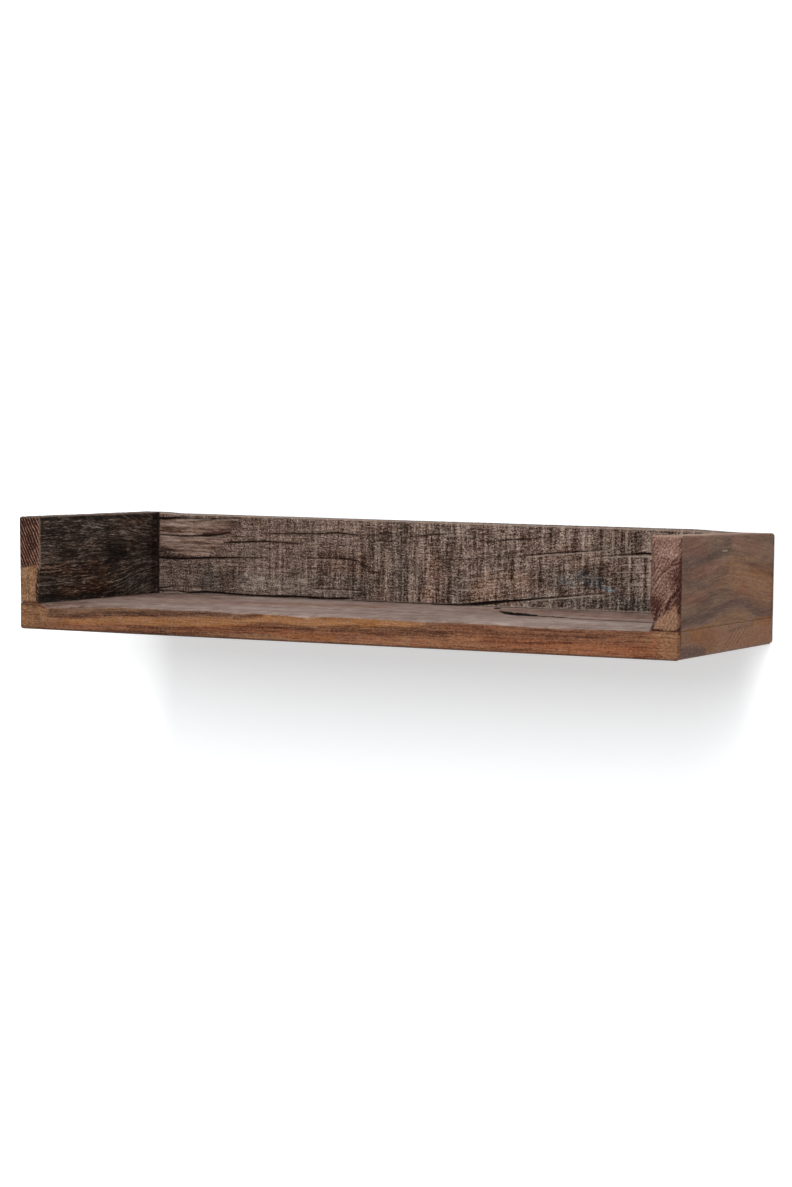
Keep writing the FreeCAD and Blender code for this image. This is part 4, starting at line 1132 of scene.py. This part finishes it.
def make_back_material(groups):
    """Rough-sawn grey-brown board, torn and pale in places, with dark cracks."""
    material, tree = start_material("Rough-sawn back board")
    layers, _, place, grain, crack, worn = board_inputs(
        tree, groups, length=.05, width=.003, seed=2.0, ragged=.4, arris=2.6)
    streak, fibre, pore, tone = grain["Streak"], grain["Fibre"], grain["Pore"], layers["tone"]
    saw = place_group(tree, groups["Saw marks"], Place=place, Spacing=.0027, Reach=.034, Dash=.0013,
                      Seed=3.0)
    hue = stretch(tree, mottle(tree, place, (.03, .03, .022), 71.0), 2.4)
    speck = stretch(tree, mottle(tree, place, (.0016, .0016, .0014), 72.0, 1.0, .5), 2.0)
    cut = weigh(tree, 0.0, ((saw["Marks"], .7), (saw["Bands"], .2), (saw["Dashes"], .55)))
    value = weigh(tree, .5, ((streak, .25), (fibre, .75), (speck, .75)),
                  ((times(tree, cut, layers["sawn"]), 1.2), (tone, .32), (pore, -.2)))
    sawn = ramp(tree, value, (0, 28, 18, 14), (.24, 62, 46, 38), (.5, 104, 86, 77),
                (.76, 143, 123, 111), (1, 176, 158, 146))
    hued = times_plus(tree, minus(tree, hue), .9, layers["warm"])
    tinted = tint(tree, hued, sawn, (255, 228, 210), (226, 242, 248), .8)
    torn = ramp(tree, weigh(tree, .5, ((streak, .8), (fibre, .7), (speck, .26)), ((tone, .36),)),
                (0, 38, 22, 15), (.3, 80, 58, 48), (.5, 116, 93, 82), (.8, 154, 131, 119),
                (1, 178, 156, 143))
    blue = mix_colours(tree, value, (46, 64, 74), (130, 152, 162))
    # The pale coat holds pale marks and painted highlights along the cracks and the top arris; the last two
    # coats are painted shade in the cracks, a brown rim and a near-black inside
    colour = coat(tree, tinted, (layers["torn"], 1, torn), (layers["pale"], .75, (172, 155, 142)),
                  (layers["blue"], 1, blue), (worn, .5, (148, 130, 118)), (crack["Edge"], .3, (50, 32, 24)),
                  (crack["Dark"], 1, (24, 13, 9)))
    marks = times(tree, saw["Marks"], layers["sawn"])
    finish_material(tree, colour, step_between(tree, value, 0, 1, .9, .74),
                    ((streak, .0005), (marks, .0005), (fibre, .0003)))
    return material


def make_left_end_material(groups):
    """Dark weathered inner face, red-brown end grain with a tan sapwood edge, planed outside."""
    material, tree = start_material("Dark left end board")
    layers, _, place, grain, crack, worn = board_inputs(
        tree, groups, length=.034, width=.0017, seed=11.0, ragged=.5, arris=2.2)
    streak, fibre, pore, tone = grain["Streak"], grain["Fibre"], grain["Pore"], layers["tone"]
    x, _, z = split(tree, place)
    reach = times_plus(tree, x, .89, times(tree, z, .45))
    rings = place_group(tree, groups["Growth rings"], Reach=reach, Year=.003, Place=place, Wobble=.35)
    speck = stretch(tree, mottle(tree, place, (.0013, .0013, .0016), 61.0, 2.0, .6), 1.8)
    value = weigh(tree, .5, ((streak, 1.1), (fibre, 1.5), (speck, .35)), ((tone, .3), (pore, -.15)))
    charred = ramp(tree, value, (0, 8, 5, 3), (.26, 27, 18, 13), (.5, 55, 42, 34), (.74, 98, 83, 72),
                   (1, 164, 148, 136))
    hued = two_hues(tree, place, layers["warm"], .4)
    charred = tint(tree, hued, charred, (255, 208, 176), (224, 236, 248), .8)
    end_value = weigh(tree, .1, ((rings["Ring"], .2), (speck, 1.4)), ((rings["Line"], .78), (tone, .5)))
    planed_value = weigh(tree, .5, ((streak, .7), (fibre, .45)), ((tone, .3), (pore, -.12)))
    heart = ramp(tree, mix_values(tree, layers["end_grain"], planed_value, end_value),
                 (0, 28, 10, 6), (.25, 46, 21, 13), (.5, 76, 45, 33), (.75, 110, 76, 60), (1, 146, 112, 94))
    heart = tint(tree, layers["warm"], heart, (255, 214, 190), (235, 240, 245), .6)
    cloud = stretch(tree, mottle(tree, place, (.007, .007, .009), 64.0, 2.0), 1.6)
    sap_end = weigh(tree, .5, ((cloud, .8), (speck, 1.5)), ((tone, .4),))
    sap = ramp(tree, mix_values(tree, layers["end_grain"], planed_value, sap_end),
               (0, 70, 42, 28), (.3, 106, 74, 51), (.55, 132, 97, 70), (1, 162, 128, 100))
    # The last coat is painted shade inside any crack
    colour = coat(tree, heart, (layers["tan"], 1, sap), (layers["weathered"], 1, charred),
                  (layers["pale"], .6, (116, 100, 88)), (worn, .5, (118, 98, 86)),
                  (crack["Dark"], 1, (12, 7, 5)))
    finish_material(tree, colour, mix_values(tree, layers["weathered"], .62, .8),
                    ((streak, .0004), (fibre, .00022)))
    return material


def make_right_end_material(groups):
    """Planed pinkish brown outer face with arched bands, end grain with rising rings, grey inner face."""
    material, tree = start_material("Planed right end board")
    layers, flow, place, grain, crack, worn = board_inputs(
        tree, groups, length=.09, width=.0028, seed=21.0, ragged=.5, arris=1.6, breaks=.4)
    streak, fibre, pore, tone = grain["Streak"], grain["Fibre"], grain["Pore"], layers["tone"]
    speck = stretch(tree, mottle(tree, place, (.0014, .0014, .0017), 62.0, 2.0, .6), 1.8)
    x, _, z = split(tree, place)
    reach = times_plus(tree, x, .85, times(tree, z, -.53))
    rings = place_group(tree, groups["Growth rings"], Reach=reach, Year=.0031, Place=place, Wobble=.6)
    end_value = weigh(tree, .46, ((rings["Ring"], .1), (speck, .95)), ((rings["Line"], -.24), (tone, .36)))
    end = ramp(tree, end_value, (0, 44, 23, 18), (.25, 74, 46, 39), (.5, 110, 82, 72),
               (.75, 142, 112, 100), (1, 170, 141, 127))
    sap = ramp(tree, end_value, (0, 92, 62, 46), (.3, 122, 90, 70), (.55, 142, 109, 88), (1, 164, 134, 112))
    band = stretch(tree, mottle(tree, flow, (.16, .011, .011), 66.0, 1.0, .5, .2), 1.8)
    planed_value = weigh(tree, .5, ((streak, .4), (fibre, .7), (band, .3), (speck, .5)),
                         ((tone, .34), (pore, -.14)))
    planed = ramp(tree, planed_value, (0, 68, 47, 37), (.25, 96, 71, 57), (.5, 122, 93, 76),
                  (.75, 144, 112, 90), (1, 164, 133, 110))
    hued = two_hues(tree, place, layers["warm"], .8)
    planed = tint(tree, hued, planed, (255, 230, 172), (240, 242, 250), .8)
    planed = tint(tree, layers["rosy"], planed, (255, 226, 222), (255, 255, 255), .9)
    inner = ramp(tree, planed_value, (0, 40, 30, 25), (.3, 66, 52, 44), (.5, 88, 72, 63), (1, 128, 110, 99))
    # The last coat is painted shade inside any crack
    colour = coat(tree, planed, (layers["end_grain"], 1, end), (layers["tan"], 1, sap),
                  (layers["weathered"], 1, inner), (layers["pale"], .8, (190, 164, 138)),
                  (worn, .35, (140, 110, 94)), (crack["Dark"], 1, (22, 13, 9)))
    finish_material(tree, colour, mix_values(tree, layers["weathered"], .52, .8),
                    ((streak, .00012), (fibre, .0001)), specular=.04)
    return material


def make_base_material(groups):
    """Planed golden to red-brown front edge with dark lines, weathered mauve-grey top with a black gash."""
    material, tree = start_material("Weathered base board")
    layers, flow, place, grain, crack, worn = board_inputs(
        tree, groups, length=.11, width=.002, seed=31.0, ragged=.9, arris=2.4)
    streak, fibre, pore, tone = grain["Streak"], grain["Fibre"], grain["Pore"], layers["tone"]
    speck = stretch(tree, mottle(tree, place, (.0024, .0014, .0013), 63.0, 2.0, .6), 1.8)
    ends = maths(tree, "MAXIMUM", layers["end_grain"], layers["tan"])
    planed_value = weigh(tree, .5, ((streak, .4), (fibre, .55), (speck, .5)),
                         ((tone, .32), (pore, -.14), (times(tree, minus(tree, speck), ends), .45)))
    planed = ramp(tree, planed_value, (0, 46, 26, 17), (.25, 86, 56, 41), (.5, 123, 87, 65),
                  (.75, 147, 109, 82), (1, 168, 132, 104))
    hued = two_hues(tree, place, layers["warm"], .45)
    planed = tint(tree, hued, planed, (255, 231, 168), (222, 236, 248), .85)
    planed = tint(tree, layers["rosy"], planed, (255, 218, 200), (255, 255, 255), .8)
    sap = ramp(tree, planed_value, (0, 84, 56, 40), (.3, 112, 80, 56), (.6, 134, 100, 74), (1, 160, 126, 98))
    cloud = mottle(tree, flow, (.11, .035, .035), 6.2, 3.0, .55, .3)
    flecks = stretch(tree, mottle(tree, place, (.009, .014, .01), 73.0, 3.0, .6), 2.0)
    top_value = weigh(tree, .56, ((cloud, .9), (streak, .5), (fibre, .8), (flecks, .5)), ((tone, .4),))
    top = ramp(tree, top_value, (0, 78, 56, 48), (.25, 110, 89, 80), (.5, 140, 119, 110),
               (.75, 162, 143, 134), (1, 186, 170, 162))
    top = tint(tree, layers["warm"], top, (255, 228, 212), (246, 246, 246), .7)
    reach = times_plus(tree, layers["weathered"], 1.5, -.3)
    rolled = step_between(tree, times_plus(tree, minus(tree, flecks), .6, reach), .2, .8)
    # The last two coats are painted shade in the gash and its cracks: a brown rim and a near-black inside
    colour = coat(tree, planed, (layers["tan"], .6, sap), (rolled, 1, top),
                  (layers["pale"], .8, (190, 170, 152)), (worn, .25, (126, 102, 88)),
                  (crack["Edge"], .4, (60, 36, 26)), (crack["Dark"], 1, (10, 4, 2)))
    finish_material(tree, colour, mix_values(tree, rolled, .5, .72), ((streak, .00022), (fibre, .00014)),
                    specular=.06)
    return material


def make_dowel_material(groups):
    """Pale beech with fine upright grain and small flecks."""
    material, tree = start_material("Fluted beech dowel")
    grain = place_group(tree, groups["Long grain"], Flow=own_place(tree), Length=.012, Width=.0012,
                        Seed=41.0)
    value = weigh(tree, .5, ((grain["Fibre"], .8),), ((grain["Pore"], -.3),))
    colour = ramp(tree, value, (0, 150, 112, 76), (.5, 206, 170, 126), (1, 228, 200, 160))
    finish_material(tree, colour, step_between(tree, value, 0, 1, .62, .5), ((grain["Fibre"], .00008),),
                    specular=.4)
    return material


def make_metal_material(name, chips, rough, flake):
    """Plated steel: spangle or turning marks, dulled in patches."""
    material, tree = start_material(name)
    place = own_place(tree)
    patch = mottle(tree, place, (flake,) * 3, 51.0, 3.0, .6)
    fine = mottle(tree, place, (flake * .12,) * 3, 52.0, 2.0, .5)
    value = weigh(tree, .5, ((patch, 1.0), (fine, .4)))
    roughness = step_between(tree, value, 0, 1, *rough)
    finish_material(tree, ramp(tree, value, *chips), roughness, ((fine, .00003),), specular=.5, metallic=1.0)
    return material


# Relief and hardware trees

SHARP_ANGLE = math.radians(40)      # faces that meet at more than this have a crisp edge


def named_layer(tree, name, kind="FLOAT"):
    """A layer of the mesh that a geometry tree works on."""
    return add(tree, "GeometryNodeInputNamedAttribute", {"Name": name}, data_type=kind).outputs["Attribute"]


def put_out(tree, result, geometry, finish):
    """The end of a geometry tree: real geometry with its finish."""
    real = add(tree, "GeometryNodeRealizeInstances", {"Geometry": geometry})
    finished = add(tree, "GeometryNodeSetMaterial", {"Geometry": real.outputs[0], "Material": finish})
    fill_in(tree, result, {"Geometry": finished.outputs[0]})


def board_relief_tree():
    """Sinks a board's skin along its grain, with shallow saw marks where the sawn layer says so."""
    tree, given, result = new_group("Weathered relief", {
        "Geometry": GEOMETRY, "Grain Depth": .0004, "Grain Length": .05, "Grain Width": .004,
        "Saw Mark Depth": .0004, "Saw Mark Spacing": .005, "Seed": 0.0, "Finish": FINISH},
        {"Geometry": GEOMETRY}, "GeometryNodeTree")
    tree.is_modifier = True
    geometry, grain_depth, length, width, saw_depth, spacing, seed, finish = given
    flow = named_layer(tree, "flow", "FLOAT_VECTOR")
    grain = mottle(tree, flow, (length, width, width), seed, 3.0, .55, .2)
    tall = times(tree, spacing, 8.0)
    place = add(tree, "GeometryNodeInputPosition").outputs[0]
    marks = mottle(tree, place, (spacing, tall, tall), plus(tree, seed, 1.3), 2.0, .5)
    sawn_depth = times(tree, named_layer(tree, "sawn"), saw_depth)
    sunk = times_plus(tree, marks, sawn_depth, times(tree, grain, grain_depth))
    sunk = times(tree, times(tree, sunk, named_layer(tree, "relief")), -1.0)
    normal = add(tree, "GeometryNodeInputNormal").outputs[0]
    move = add(tree, "ShaderNodeVectorMath", {0: normal, 3: sunk}, operation="SCALE").outputs["Vector"]
    moved = add(tree, "GeometryNodeSetPosition", {"Geometry": geometry, "Offset": move})
    put_out(tree, result, moved.outputs[0], finish)
    return tree


def screw_tree():
    """A countersunk screw with a cross recess and a wound thread on each point; heads at the points."""
    tree, given, result = new_group("Countersunk screws", {
        "Geometry": GEOMETRY, "Head Radius": .0044, "Core Radius": .0015, "Thread Radius": .00225,
        "Thread Pitch": .0024, "Tip Length": .005, "Length": .06, "Turned Forward": 0.0, "Finish": FINISH},
        {"Geometry": GEOMETRY}, "GeometryNodeTree")
    tree.is_modifier = True
    points, head, core, crest, pitch, tip, length, forward, finish = given

    def made(kind, inputs, output=0):
        return add(tree, "GeometryNode" + kind, inputs).outputs[output]

    def vector(x=0.0, y=0.0, z=0.0):
        return add(tree, "ShaderNodeCombineXYZ", {0: x, 1: y, 2: z}).outputs[0]

    def lifted(geometry, up):
        return made("Transform", {"Geometry": geometry, "Translation": vector(z=up)})

    def joined(operation, inputs, other):
        both = add(tree, "GeometryNodeMeshBoolean", inputs, operation=operation, solver="EXACT")
        tree.links.new(other, both.inputs["Mesh 2"])
        return both.outputs["Mesh"]

    # Head: a thin lip over a cone, with a cross cut into it
    cone_height = minus(tree, head, core)
    lip = made("MeshCylinder", {"Vertices": 32, "Radius": head, "Depth": .00025})
    cone = made("MeshCone", {"Vertices": 32, "Radius Bottom": head, "Radius Top": core,
                             "Depth": cone_height})
    whole = joined("UNION", {"Mesh 2": lifted(lip, .000125)}, lifted(cone, .0002))
    long, thin, deep = (times(tree, head, share) for share in (.98, .24, .8))
    bars = [made("MeshCube", {"Size": vector(x, y, deep)}) for x, y in ((long, thin), (thin, long))]
    recessed = joined("DIFFERENCE", {"Mesh 1": whole, "Mesh 2": bars[0]}, bars[1])

    # Shank, point and a thread wound round the shank
    tip_start = minus(tree, length, tip)
    run = minus(tree, tip_start, cone_height)
    wound = minus(tree, run, .001)
    shank = made("MeshCylinder", {"Vertices": 20, "Radius": core, "Depth": run})
    point = made("MeshCone", {"Vertices": 20, "Radius Bottom": core, "Radius Top": .00005, "Depth": tip})
    winding = made("CurveSpiral", {"Resolution": 20, "Rotations": maths(tree, "DIVIDE", wound, pitch),
                                   "Start Radius": core, "End Radius": core, "Height": wound})
    profile = made("CurvePrimitiveCircle", {"Resolution": 4, "Radius": minus(tree, crest, core)})
    thread = made("CurveToMesh", {"Curve": winding, "Profile Curve": profile, "Fill Caps": True})
    screw = add(tree, "GeometryNodeJoinGeometry")
    for part in (lifted(thread, plus(tree, cone_height, .0005)), lifted(point, tip_start),
                 lifted(shank, times_plus(tree, run, .5, cone_height)), recessed):
        tree.links.new(part, screw.inputs["Geometry"])

    stood = made("InstanceOnPoints", {
        "Points": points, "Instance": screw.outputs[0],
        "Rotation": vector(times(tree, forward, math.pi / 2)),
        "Scale": vector(1.0, 1.0, named_layer(tree, "length share"))})
    put_out(tree, result, stood, finish)
    return tree


def bake_tree(made, tree, values):
    """Runs a node tree on an object with named input values and leaves a plain mesh in its place."""
    modifier = made.modifiers.new(tree.name, "NODES")
    modifier.node_group = tree
    sockets = {item.name: item.identifier for item in tree.interface.items_tree if item.in_out == "INPUT"}
    for name, value in values.items():
        modifier[sockets[name]] = value
    bpy.context.view_layer.update()
    graph = bpy.context.evaluated_depsgraph_get()
    mesh = bpy.data.meshes.new_from_object(made.evaluated_get(graph), preserve_all_data_layers=True,
                                           depsgraph=graph)
    made.modifiers.clear()
    old = made.data
    made.data = mesh
    mesh.name = made.name
    bpy.data.meshes.remove(old)
    mesh.shade_smooth()
    mesh.set_sharp_from_angle(angle=SHARP_ANGLE)
    return made


def shared(kind, name, make):
    """A group, tree or material that is built once and then used again."""
    found = kind.get(name)
    return found if found is not None else make()


def shared_groups():
    """The node groups that the boards' materials share."""
    makers = {"Long grain": long_grain_group, "Saw marks": saw_marks_group, "Crack shade": crack_shade_group,
              "Worn arris": worn_arris_group, "Growth rings": growth_rings_group}
    return {name: shared(bpy.data.node_groups, name, make) for name, make in makers.items()}


def stand_for(made, slot, *nodes):
    """Lets a finished piece stand for its nodes."""
    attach(made, "root")
    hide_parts(*nodes)


def grain_relief(depth, length, width, seed):
    """How a board's skin is sunk along its grain."""
    return {"Grain Depth": depth, "Grain Length": length, "Grain Width": width, "Seed": seed}


def finish_board(shell, name, node, slot, material, relief):
    """Bakes a board's relief and lets it stand for its node."""
    tree = shared(bpy.data.node_groups, "Weathered relief", board_relief_tree)
    stand_for(bake_tree(shell.object(name), tree, {**relief, "Finish": material}), slot, node)


def stand_screws(name, nodes, sizes, forward):
    """All screws of one size on their places, with their heads at the wall or the underside."""
    lengths, heads = [], []
    for node in nodes:
        low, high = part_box(node)
        x, y, z = (low + high) / 2
        heads.append((x, high.y, z) if forward else (x, y, low.z))
        lengths.append((high.y - low.y) if forward else (high.z - low.z))
    made = new_object(name, heads)
    share = made.data.attributes.new("length share", "FLOAT", "POINT")
    share.data.foreach_set("value", [length / max(lengths) for length in lengths])
    steel = shared(bpy.data.materials, "Yellow zinc screw", lambda: make_metal_material(
        "Yellow zinc screw", ((0, 150, 128, 84), (.5, 196, 176, 122), (1, 220, 206, 168)), (.42, .26), .004))
    tree = shared(bpy.data.node_groups, "Countersunk screws", screw_tree)
    bake_tree(made, tree, {
        **sizes, "Length": max(lengths), "Turned Forward": float(forward), "Finish": steel})
    stand_for(made, "screw_steel", *nodes)


# Settings

def length_setting(name, description, default, low, high):
    """A length that a user can change, in metres."""
    return bpy.props.FloatProperty(name=name, description=description, default=default, min=low, max=high,
                                   unit="LENGTH", subtype="DISTANCE")


class ShelfBoardSettings(bpy.types.PropertyGroup):
    arris_radius: length_setting(
        "Arris radius", "Rounding of the base's and the end boards' arrises", .0014, .0005, .004)
    wear: bpy.props.FloatProperty(
        name="Wear", description="How far the arrises are worn and nicked", default=1.0, min=0.0, max=1.5,
        subtype="FACTOR")
    grain_depth: length_setting(
        "Grain depth", "Depth of the weathered grain on the rough boards", .0005, 0.0, .0015)
    saw_mark_depth: length_setting(
        "Saw mark depth", "Depth of the upright saw marks on the back board", .0005, 0.0, .0015)
    saw_mark_spacing: length_setting(
        "Saw mark spacing", "Distance between the upright saw marks", .0048, .002, .02)


class ShelfScrewSettings(bpy.types.PropertyGroup):
    base_thread_pitch: length_setting(
        "Base screw pitch", "Thread pitch of the screws that come up through the base", .0024, .001, .004)
    plate_thread_pitch: length_setting(
        "Plate screw pitch", "Thread pitch of the screws that hold the keyhole plates", .0014, .0008, .003)


class ShelfStageSettings(bpy.types.PropertyGroup):
    wall_colour: bpy.props.FloatVectorProperty(
        name="Wall colour", description="Colour of the wall and the floor", subtype="COLOR", size=3,
        default=(.845, .876, .894), min=0.0, max=1.0)
    wall_lift: bpy.props.FloatProperty(
        name="Wall lift", description="Light added to the wall for the camera alone", default=.36,
        min=0.0, max=1.0)
    side_lift: bpy.props.FloatProperty(
        name="Side lift", description="More of that light on the wall to either side of the shelf",
        default=.16, min=0.0, max=1.0)
    key_power: bpy.props.FloatProperty(
        name="Key power", description="Power of the large soft lamp in front of the shelf", default=78.0,
        min=0.0, max=1000.0, unit="POWER")
    fill_strength: bpy.props.FloatProperty(
        name="Fill strength", description="Strength of the light from all round", default=.5,
        min=0.0, max=2.0)


# One operator for each piece or group of like pieces

class SHELF_OT_base_board(bpy.types.Operator):
    """Makes the base board with its worn front arris, gash and screw holes"""
    bl_idname = "shelf.base_board"
    bl_label = "Base board"

    def execute(self, context):
        settings = context.scene.shelf_boards
        finish_board(shell_base_board(settings), "weathered_base_board", "base_board", "reclaimed_wood_base",
                     make_base_material(shared_groups()),
                     grain_relief(settings.grain_depth * .5, .06, .006, seed=1.0))
        return {"FINISHED"}


class SHELF_OT_back_board(bpy.types.Operator):
    """Makes the rough-sawn back board with its cracks and plate recesses"""
    bl_idname = "shelf.back_board"
    bl_label = "Back board"

    def execute(self, context):
        settings = context.scene.shelf_boards
        relief = grain_relief(settings.grain_depth, .03, .0035, seed=2.0)
        relief["Saw Mark Depth"] = settings.saw_mark_depth
        relief["Saw Mark Spacing"] = settings.saw_mark_spacing
        finish_board(shell_back_board(settings), "rough_sawn_back_board", "back_board",
                     "reclaimed_wood_back", make_back_material(shared_groups()), relief)
        return {"FINISHED"}


class SHELF_OT_end_boards(bpy.types.Operator):
    """Makes the two end boards, each with its own wood"""
    bl_idname = "shelf.end_boards"
    bl_label = "End boards"

    def execute(self, context):
        settings = context.scene.shelf_boards
        groups = shared_groups()
        finish_board(shell_end_board(settings, -1, LEFT_END), "dark_left_end_board", "left_end_board",
                     "reclaimed_wood_left_end", make_left_end_material(groups),
                     grain_relief(settings.grain_depth, .05, .004, seed=3.0))
        finish_board(shell_end_board(settings, 1, RIGHT_END), "planed_right_end_board", "right_end_board",
                     "reclaimed_wood_right_end", make_right_end_material(groups),
                     grain_relief(settings.grain_depth * .3, .06, .006, seed=4.0))
        return {"FINISHED"}


class SHELF_OT_screws(bpy.types.Operator):
    """Makes the screws under the base and the small screws of the keyhole plates"""
    bl_idname = "shelf.screws"
    bl_label = "Screws"

    def execute(self, context):
        settings = context.scene.shelf_screws
        stand_screws("base_screws", BASE_SCREWS, {
            "Head Radius": .0044, "Core Radius": .0015, "Thread Radius": .00225,
            "Thread Pitch": settings.base_thread_pitch, "Tip Length": .005}, False)
        stand_screws("plate_screws", PLATE_SCREWS, {
            "Head Radius": .0031, "Core Radius": .00105, "Thread Radius": .0016,
            "Thread Pitch": settings.plate_thread_pitch, "Tip Length": .0025}, True)
        return {"FINISHED"}


class SHELF_OT_fittings(bpy.types.Operator):
    """Gives the dowels their beech and the keyhole plates their zinc"""
    bl_idname = "shelf.fittings"
    bl_label = "Dowels and keyhole plates"

    def execute(self, context):
        beech = make_dowel_material(shared_groups())
        zinc = make_metal_material(
            "Bright zinc plate", ((0, 150, 154, 158), (.5, 196, 199, 202), (1, 222, 224, 226)),
            (.4, .24), .006)
        for names, material in ((DOWELS, beech), (PLATES, zinc)):
            for name in names:
                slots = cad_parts[name].material_slots
                if not slots:
                    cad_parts[name].data.materials.append(material)
                for slot in slots:
                    slot.material = material
        return {"FINISHED"}


def stage_plane(name, centre, right, up, material):
    """A flat sheet of the stage that faces right x up."""
    corners = [centre - right - up, centre + right - up, centre + right + up, centre - right + up]
    made = new_object(name, corners, [(0, 1, 2, 3)])
    made.data.materials.append(material)


def seen_directly(tree):
    """1 where the camera or a mirror image looks, 0 for the light that falls on the shelf; and all rays."""
    path = add(tree, "ShaderNodeLightPath").outputs
    return maths(tree, "MAXIMUM", path["Is Camera Ray"], path["Is Glossy Ray"]), path


def make_stage_material(settings):
    """A matt wall, seen only from its front, with light added for the camera, more beside the shelf."""
    material, tree = start_material("Matt wall and floor")
    matt = add(tree, "ShaderNodeBsdfDiffuse", {"Color": (*settings.wall_colour, 1.0)})
    beside = step_between(tree, maths(tree, "ABSOLUTE", split(tree, own_place(tree))[0]), *WALL_BESIDE)
    strength = times_plus(tree, beside, settings.side_lift, settings.wall_lift)
    lift = add(tree, "ShaderNodeEmission", {"Color": (1, 1, 1, 1), "Strength": strength})
    lifted = add(tree, "ShaderNodeAddShader", {0: matt.outputs[0], 1: lift.outputs[0]})
    back = add(tree, "ShaderNodeNewGeometry").outputs["Backfacing"]
    shown = times(tree, seen_directly(tree)[0], minus(tree, 1.0, back))
    clear = add(tree, "ShaderNodeBsdfTransparent")
    mixed = add(tree, "ShaderNodeMixShader", {0: shown, 1: clear.outputs[0], 2: lifted.outputs[0]})
    add(tree, "ShaderNodeOutputMaterial", {"Surface": mixed.outputs[0]})
    return material


# The wall and the floor, in metres: middle, half of the width and half of the height or depth
WALL = (Vector((0, .0006, .6)), Vector((3.2, 0, 0)), Vector((0, 0, 1.6)))
FLOOR = (Vector((0, -2, -1.0)), Vector((3.2, 0, 0)), Vector((0, 2.0006, 0)))
WALL_BESIDE = (.31, .352)       # the wall's added light grows between these distances from the middle

# The lamp and the camera
LAMP_PLACE, LAMP_AIM = Vector((.52, -2.86, 1.42)), Vector((0, -.1, 0))
LAMP_SIZE = (2.0, 2.3)
CAMERA_PLACE = Vector((1.3220, -2.6090, .1508))
CAMERA_LENS = 88.942
CAMERA_YAW, CAMERA_PITCH, CAMERA_ROLL = (math.radians(angle) for angle in (27.784, -3.431, .508))


class SHELF_OT_stage(bpy.types.Operator):
    """Sets the wall, the floor, the lamps and the camera"""
    bl_idname = "shelf.stage"
    bl_label = "Stage"

    def execute(self, context):
        settings = context.scene.shelf_stage
        matt = make_stage_material(settings)
        stage_plane("wall", *WALL, matt)
        stage_plane("floor", *FLOOR, matt)
        lamp = bpy.data.lights.new("soft key", "AREA")
        lamp.shape, lamp.energy = "RECTANGLE", settings.key_power
        lamp.size, lamp.size_y = LAMP_SIZE
        key = bpy.data.objects.new("soft key", lamp)
        context.scene.collection.objects.link(key)
        key.location = LAMP_PLACE
        key.rotation_euler = (LAMP_AIM - LAMP_PLACE).to_track_quat("-Z", "Y").to_euler()
        self.set_world(context, settings)
        self.set_camera(context)
        context.scene.view_settings.view_transform = "Standard"
        return {"FINISHED"}

    def set_world(self, context, settings):
        world = bpy.data.worlds.new("studio")
        context.scene.world = world
        world.use_nodes = True
        tree = world.node_tree
        tree.nodes.clear()
        seen, path = seen_directly(tree)
        seen = maths(tree, "MAXIMUM", seen, path["Is Transmission Ray"])
        strength = times_plus(tree, seen, 1.0 - settings.fill_strength, settings.fill_strength)
        light = add(tree, "ShaderNodeBackground", {"Color": (1, 1, 1, 1), "Strength": strength})
        add(tree, "ShaderNodeOutputWorld", {"Surface": light.outputs[0]})

    def set_camera(self, context):
        lens = bpy.data.cameras.new("front right")
        lens.lens, lens.sensor_width, lens.clip_end = CAMERA_LENS, 36.0, 50.0
        camera = bpy.data.objects.new("front right", lens)
        context.scene.collection.objects.link(camera)
        turn = (Matrix.Rotation(CAMERA_YAW, 4, "Z") @ Matrix.Rotation(math.pi / 2 + CAMERA_PITCH, 4, "X")
                @ Matrix.Rotation(CAMERA_ROLL, 4, "Z"))
        camera.matrix_world = Matrix.Translation(CAMERA_PLACE) @ turn
        context.scene.camera = camera


class SHELF_PT_pieces(bpy.types.Panel):
    """The shelf's pieces and their settings"""
    bl_idname = "SHELF_PT_pieces"
    bl_label = "Reclaimed wood shelf"
    bl_space_type = "VIEW_3D"
    bl_region_type = "UI"
    bl_category = "Shelf"

    def draw(self, context):
        layout = self.layout
        scene = context.scene
        for settings, operators in ((scene.shelf_boards, BOARD_OPERATORS),
                                    (scene.shelf_screws, (SHELF_OT_screws,)),
                                    (scene.shelf_stage, (SHELF_OT_fittings, SHELF_OT_stage))):
            box = layout.box()
            for name in settings.__annotations__:
                box.prop(settings, name)
            for operator in operators:
                box.operator(operator.bl_idname)


BOARD_OPERATORS = (SHELF_OT_base_board, SHELF_OT_back_board, SHELF_OT_end_boards)
OPERATORS = BOARD_OPERATORS + (SHELF_OT_screws, SHELF_OT_fittings, SHELF_OT_stage)
SETTINGS = {"shelf_boards": ShelfBoardSettings, "shelf_screws": ShelfScrewSettings,
            "shelf_stage": ShelfStageSettings}


def register():
    for settings in SETTINGS.values():
        bpy.utils.register_class(settings)
    for name, settings in SETTINGS.items():
        setattr(bpy.types.Scene, name, bpy.props.PointerProperty(type=settings))
    for operator in OPERATORS + (SHELF_PT_pieces,):
        bpy.utils.register_class(operator)


def unregister():
    for operator in reversed(OPERATORS + (SHELF_PT_pieces,)):
        bpy.utils.unregister_class(operator)
    for name, settings in SETTINGS.items():
        delattr(bpy.types.Scene, name)
        bpy.utils.unregister_class(settings)


def main():
    """Makes every piece in turn."""
    register()
    for operator in OPERATORS:
        area, name = operator.bl_idname.split(".")
        getattr(getattr(bpy.ops, area), name)()


if __name__ == "__main__":
    main()
